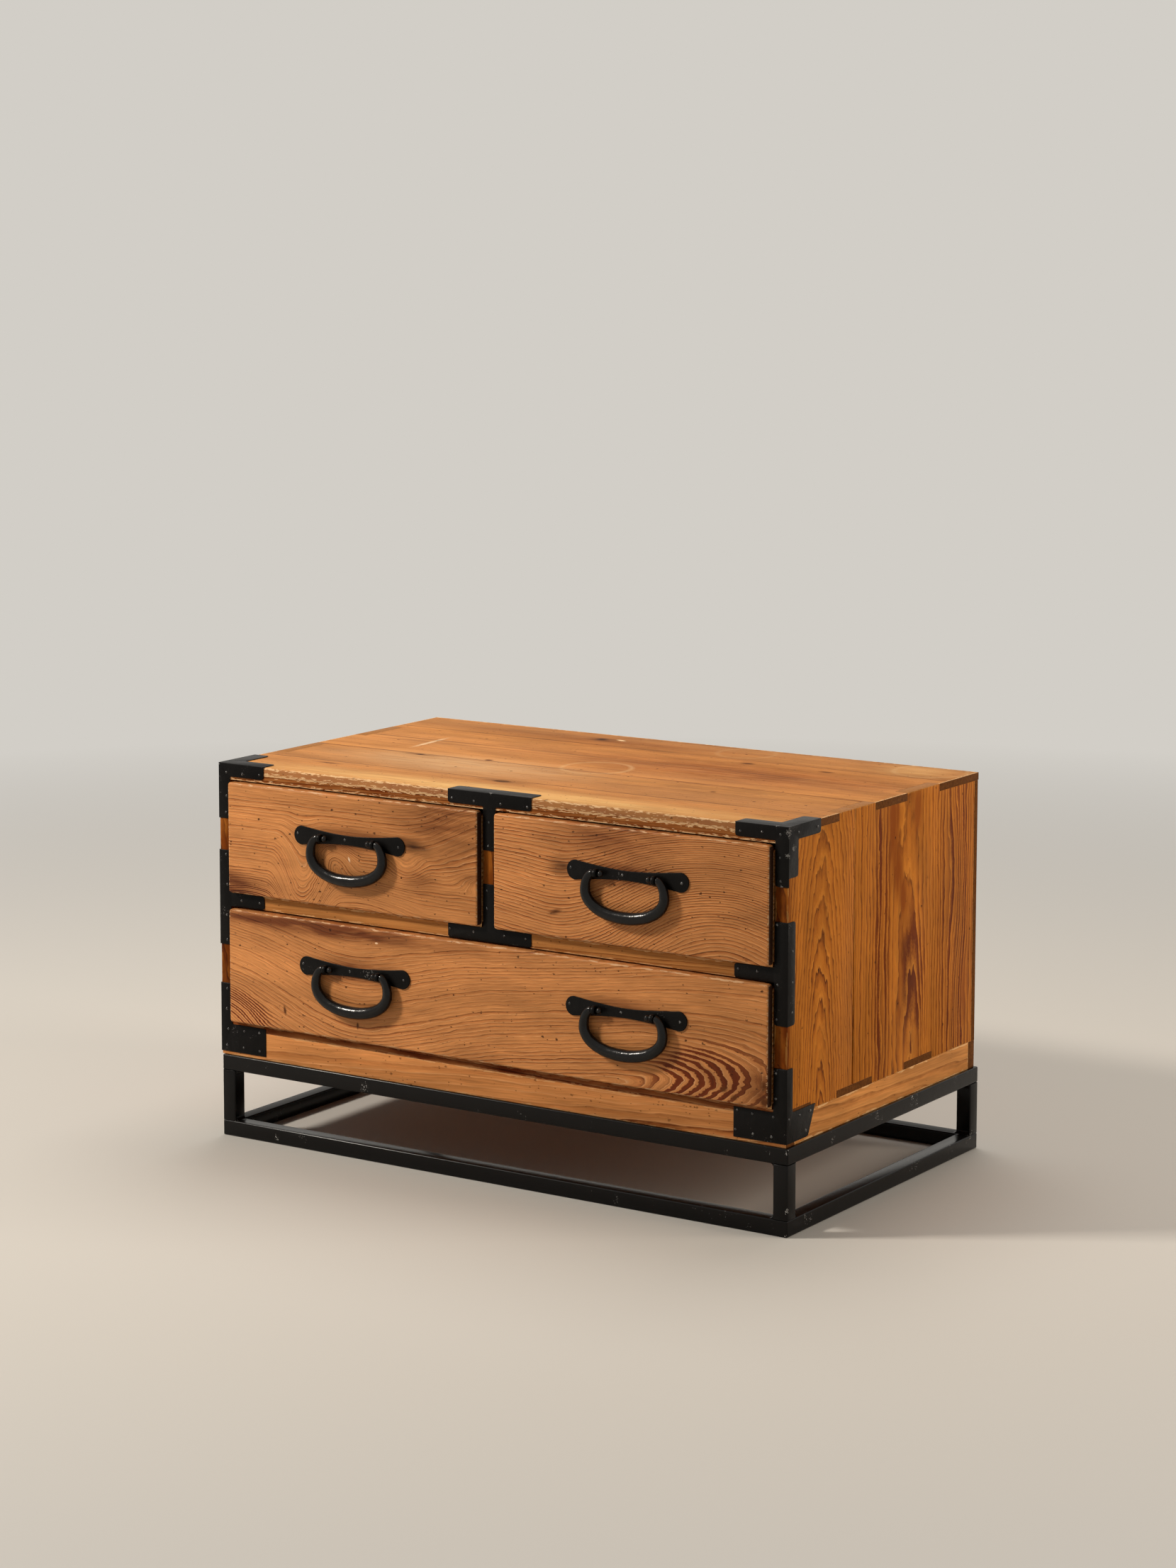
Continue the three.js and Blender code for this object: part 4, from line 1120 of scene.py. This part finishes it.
def weld(mesh, corner, first, second, width):
    """Fills an inner corner between two tubes with a hollow fillet as wide as the tubes' flats"""
    first, second = Vector(first), Vector(second)
    middle = corner + (first + second) * WELD_RADIUS
    section = [corner - (first + second) * WELD_SINK]
    for step in range(WELD_STEPS + 1):
        angle = math.pi / 2 * step / WELD_STEPS
        reach = (first * math.cos(angle) + second * math.sin(angle)) * WELD_RADIUS
        section.append(middle - reach)
    across = first.cross(second).normalized()
    start = [mesh.verts.new(place - across * width / 2) for place in section]
    made = bmesh.ops.extrude_face_region(mesh, geom=[mesh.faces.new(start)], use_keep_orig=True)
    ends = [part for part in made["geom"] if isinstance(part, bmesh.types.BMVert)]
    bmesh.ops.translate(mesh, verts=ends, vec=across * width)


def welds():
    """The fillets in the windows between the legs, and in the corners of both frames"""
    mesh = bmesh.new()
    for leg in ("front_left", "front_right", "back_left", "back_right"):
        low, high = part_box(f"stand_leg_{leg}")
        middle = (low + high) / 2
        inward = Vector((-math.copysign(1, middle.x), -math.copysign(1, middle.y)))
        face = Vector((middle.x, middle.y)) + inward * (high.x - low.x) / 2
        flat = (high.x - low.x) * FLAT_SHARE
        for level, up in ((low.z, 1), (high.z, -1)):
            weld(mesh, Vector((face.x, middle.y, level)), (inward.x, 0, 0), (0, 0, up), flat)
            weld(mesh, Vector((middle.x, face.y, level)), (0, inward.y, 0), (0, 0, up), flat)
            beside = level - up * (high.x - low.x) / 2
            weld(mesh, Vector((face.x, face.y, beside)), (inward.x, 0, 0), (0, inward.y, 0), flat)
    bmesh.ops.recalc_face_normals(mesh, faces=mesh.faces)
    return mesh


STEEL_KNOCKS = (
    ((398, -226, 96), 9),
    ((398, -226, 30), 10),
    ((-310, -226, 8), 8),
    ((398, 60, 98), 8),
    ((396, -226, 2), 6),
)
# Steel tube under satin black enamel: smooth and even, with bright steel where it is chipped
look = (0.08, (0.2, 0.3), "#a5a3a0", 0.16, 0.12)
steel_finish = blackened("satin_black_enamel_on_steel", *look, STEEL_KNOCKS)
for node in frame["nodes"]:
    if node.startswith("stand_"):
        tube = cad_copy(node)
        soften(tube, TUBE_EDGE, 3)
        piece(f"{node}_tube", tube, "case", steel_finish, [node])
piece("stand_welds", welds(), "case", steel_finish)

# Floor, lights and camera


FLOOR_PAINT, BACKDROP = "#c4c0b9", "#d2cec7"
# In metres: how far the floor reaches, and where its fade to the backdrop's colour starts and ends
FLOOR_REACH, FADE_START, FADE_END = 14, 0.9, 3.2


def shows_background(tree):
    """1 for rays that show the background itself: to the camera, mirrored or through glass"""
    rays = add(tree, "ShaderNodeLightPath").outputs
    mirrored = add(tree, "ShaderNodeMath", MAXIMUM, (rays["Is Camera Ray"], rays["Is Glossy Ray"]))
    return add(tree, "ShaderNodeMath", MAXIMUM, (mirrored, rays["Is Transmission Ray"]))


def floor():
    """A smooth painted floor: pale and dull, and of the backdrop's colour far from the chest"""
    mesh = bmesh.new()
    bmesh.ops.create_grid(mesh, x_segments=1, y_segments=1, size=FLOOR_REACH)
    data = bpy.data.meshes.new("floor")
    mesh.to_mesh(data)
    mesh.free()
    made = bpy.data.objects.new("floor", data)
    material, tree = new_material("pale_floor")
    place = add(tree, "ShaderNodeTexCoord").outputs["Object"]
    away = add(tree, "ShaderNodeVectorMath", LENGTH, [place])
    far = add(tree, "ShaderNodeMapRange", {}, (away, FADE_START, FADE_END))
    far = add(tree, "ShaderNodeMath", MULTIPLY, (far, shows_background(tree)))
    painted = {"Base Color": linear(FLOOR_PAINT), "Roughness": 0.8}
    near_floor = add(tree, "ShaderNodeBsdfPrincipled", {}, painted)
    far_floor = add(tree, "ShaderNodeEmission", {}, (linear(BACKDROP), 1))
    both = add(tree, "ShaderNodeMixShader", {}, (far, near_floor, far_floor))
    add(tree, "ShaderNodeOutputMaterial", {}, {"Surface": both})
    data.materials.append(material)
    bpy.context.scene.collection.objects.link(made)


def lamp(name, place, target, size, watts, colour):
    """A square softbox that faces a target"""
    light = bpy.data.lights.new(name, "AREA")
    light.size = size
    light.energy = watts
    light.color = linear(colour)[:3]
    made = bpy.data.objects.new(name, light)
    made.location = place
    aim = Vector(target) - Vector(place)
    made.rotation_euler = aim.to_track_quat("-Z", "Y").to_euler()
    bpy.context.scene.collection.objects.link(made)


floor()
# A small softbox at the front left gives the shadows, and two large ones fill them from the
# right and from above, all at a level at which colours render about as they are written
CHEST = (0, 0, 0.25)
lamp("key_softbox", (-2.5, -2.2, 2.6), CHEST, 0.5, 142, "#fff6ea")
lamp("side_softbox", (3.0, 0.9, 1.3), CHEST, 1.4, 54, "#fff1e0")
lamp("top_softbox", (-0.3, 0.9, 2.6), CHEST, 1.6, 34, "#fffaf4")

world = bpy.data.worlds.new("studio")
bpy.context.scene.world = world
world.use_nodes = True
sky = world.node_tree
sky.nodes.clear()
soft_light = add(sky, "ShaderNodeBackground", {}, (linear("#e8e6e3"), 0.2))
backdrop = add(sky, "ShaderNodeBackground", {}, (linear(BACKDROP), 1))
mixed = (shows_background(sky), soft_light, backdrop)
studio = add(sky, "ShaderNodeMixShader", {}, mixed)
add(sky, "ShaderNodeOutputWorld", {}, [studio])

# The place and the lens of the photo, worked out from the chest's own edges
lens = bpy.data.cameras.new("camera")
lens.lens = 83.88
lens.shift_y = -0.1008
camera = bpy.data.objects.new("camera", lens)
camera.location = on_case(2349.7, -3593.75, 1158.6)
camera.rotation_euler = [math.radians(angle) for angle in (82.920, -0.084, 33.321)]
bpy.context.scene.collection.objects.link(camera)
bpy.context.scene.camera = camera
bpy.context.scene.view_settings.view_transform = "Standard"
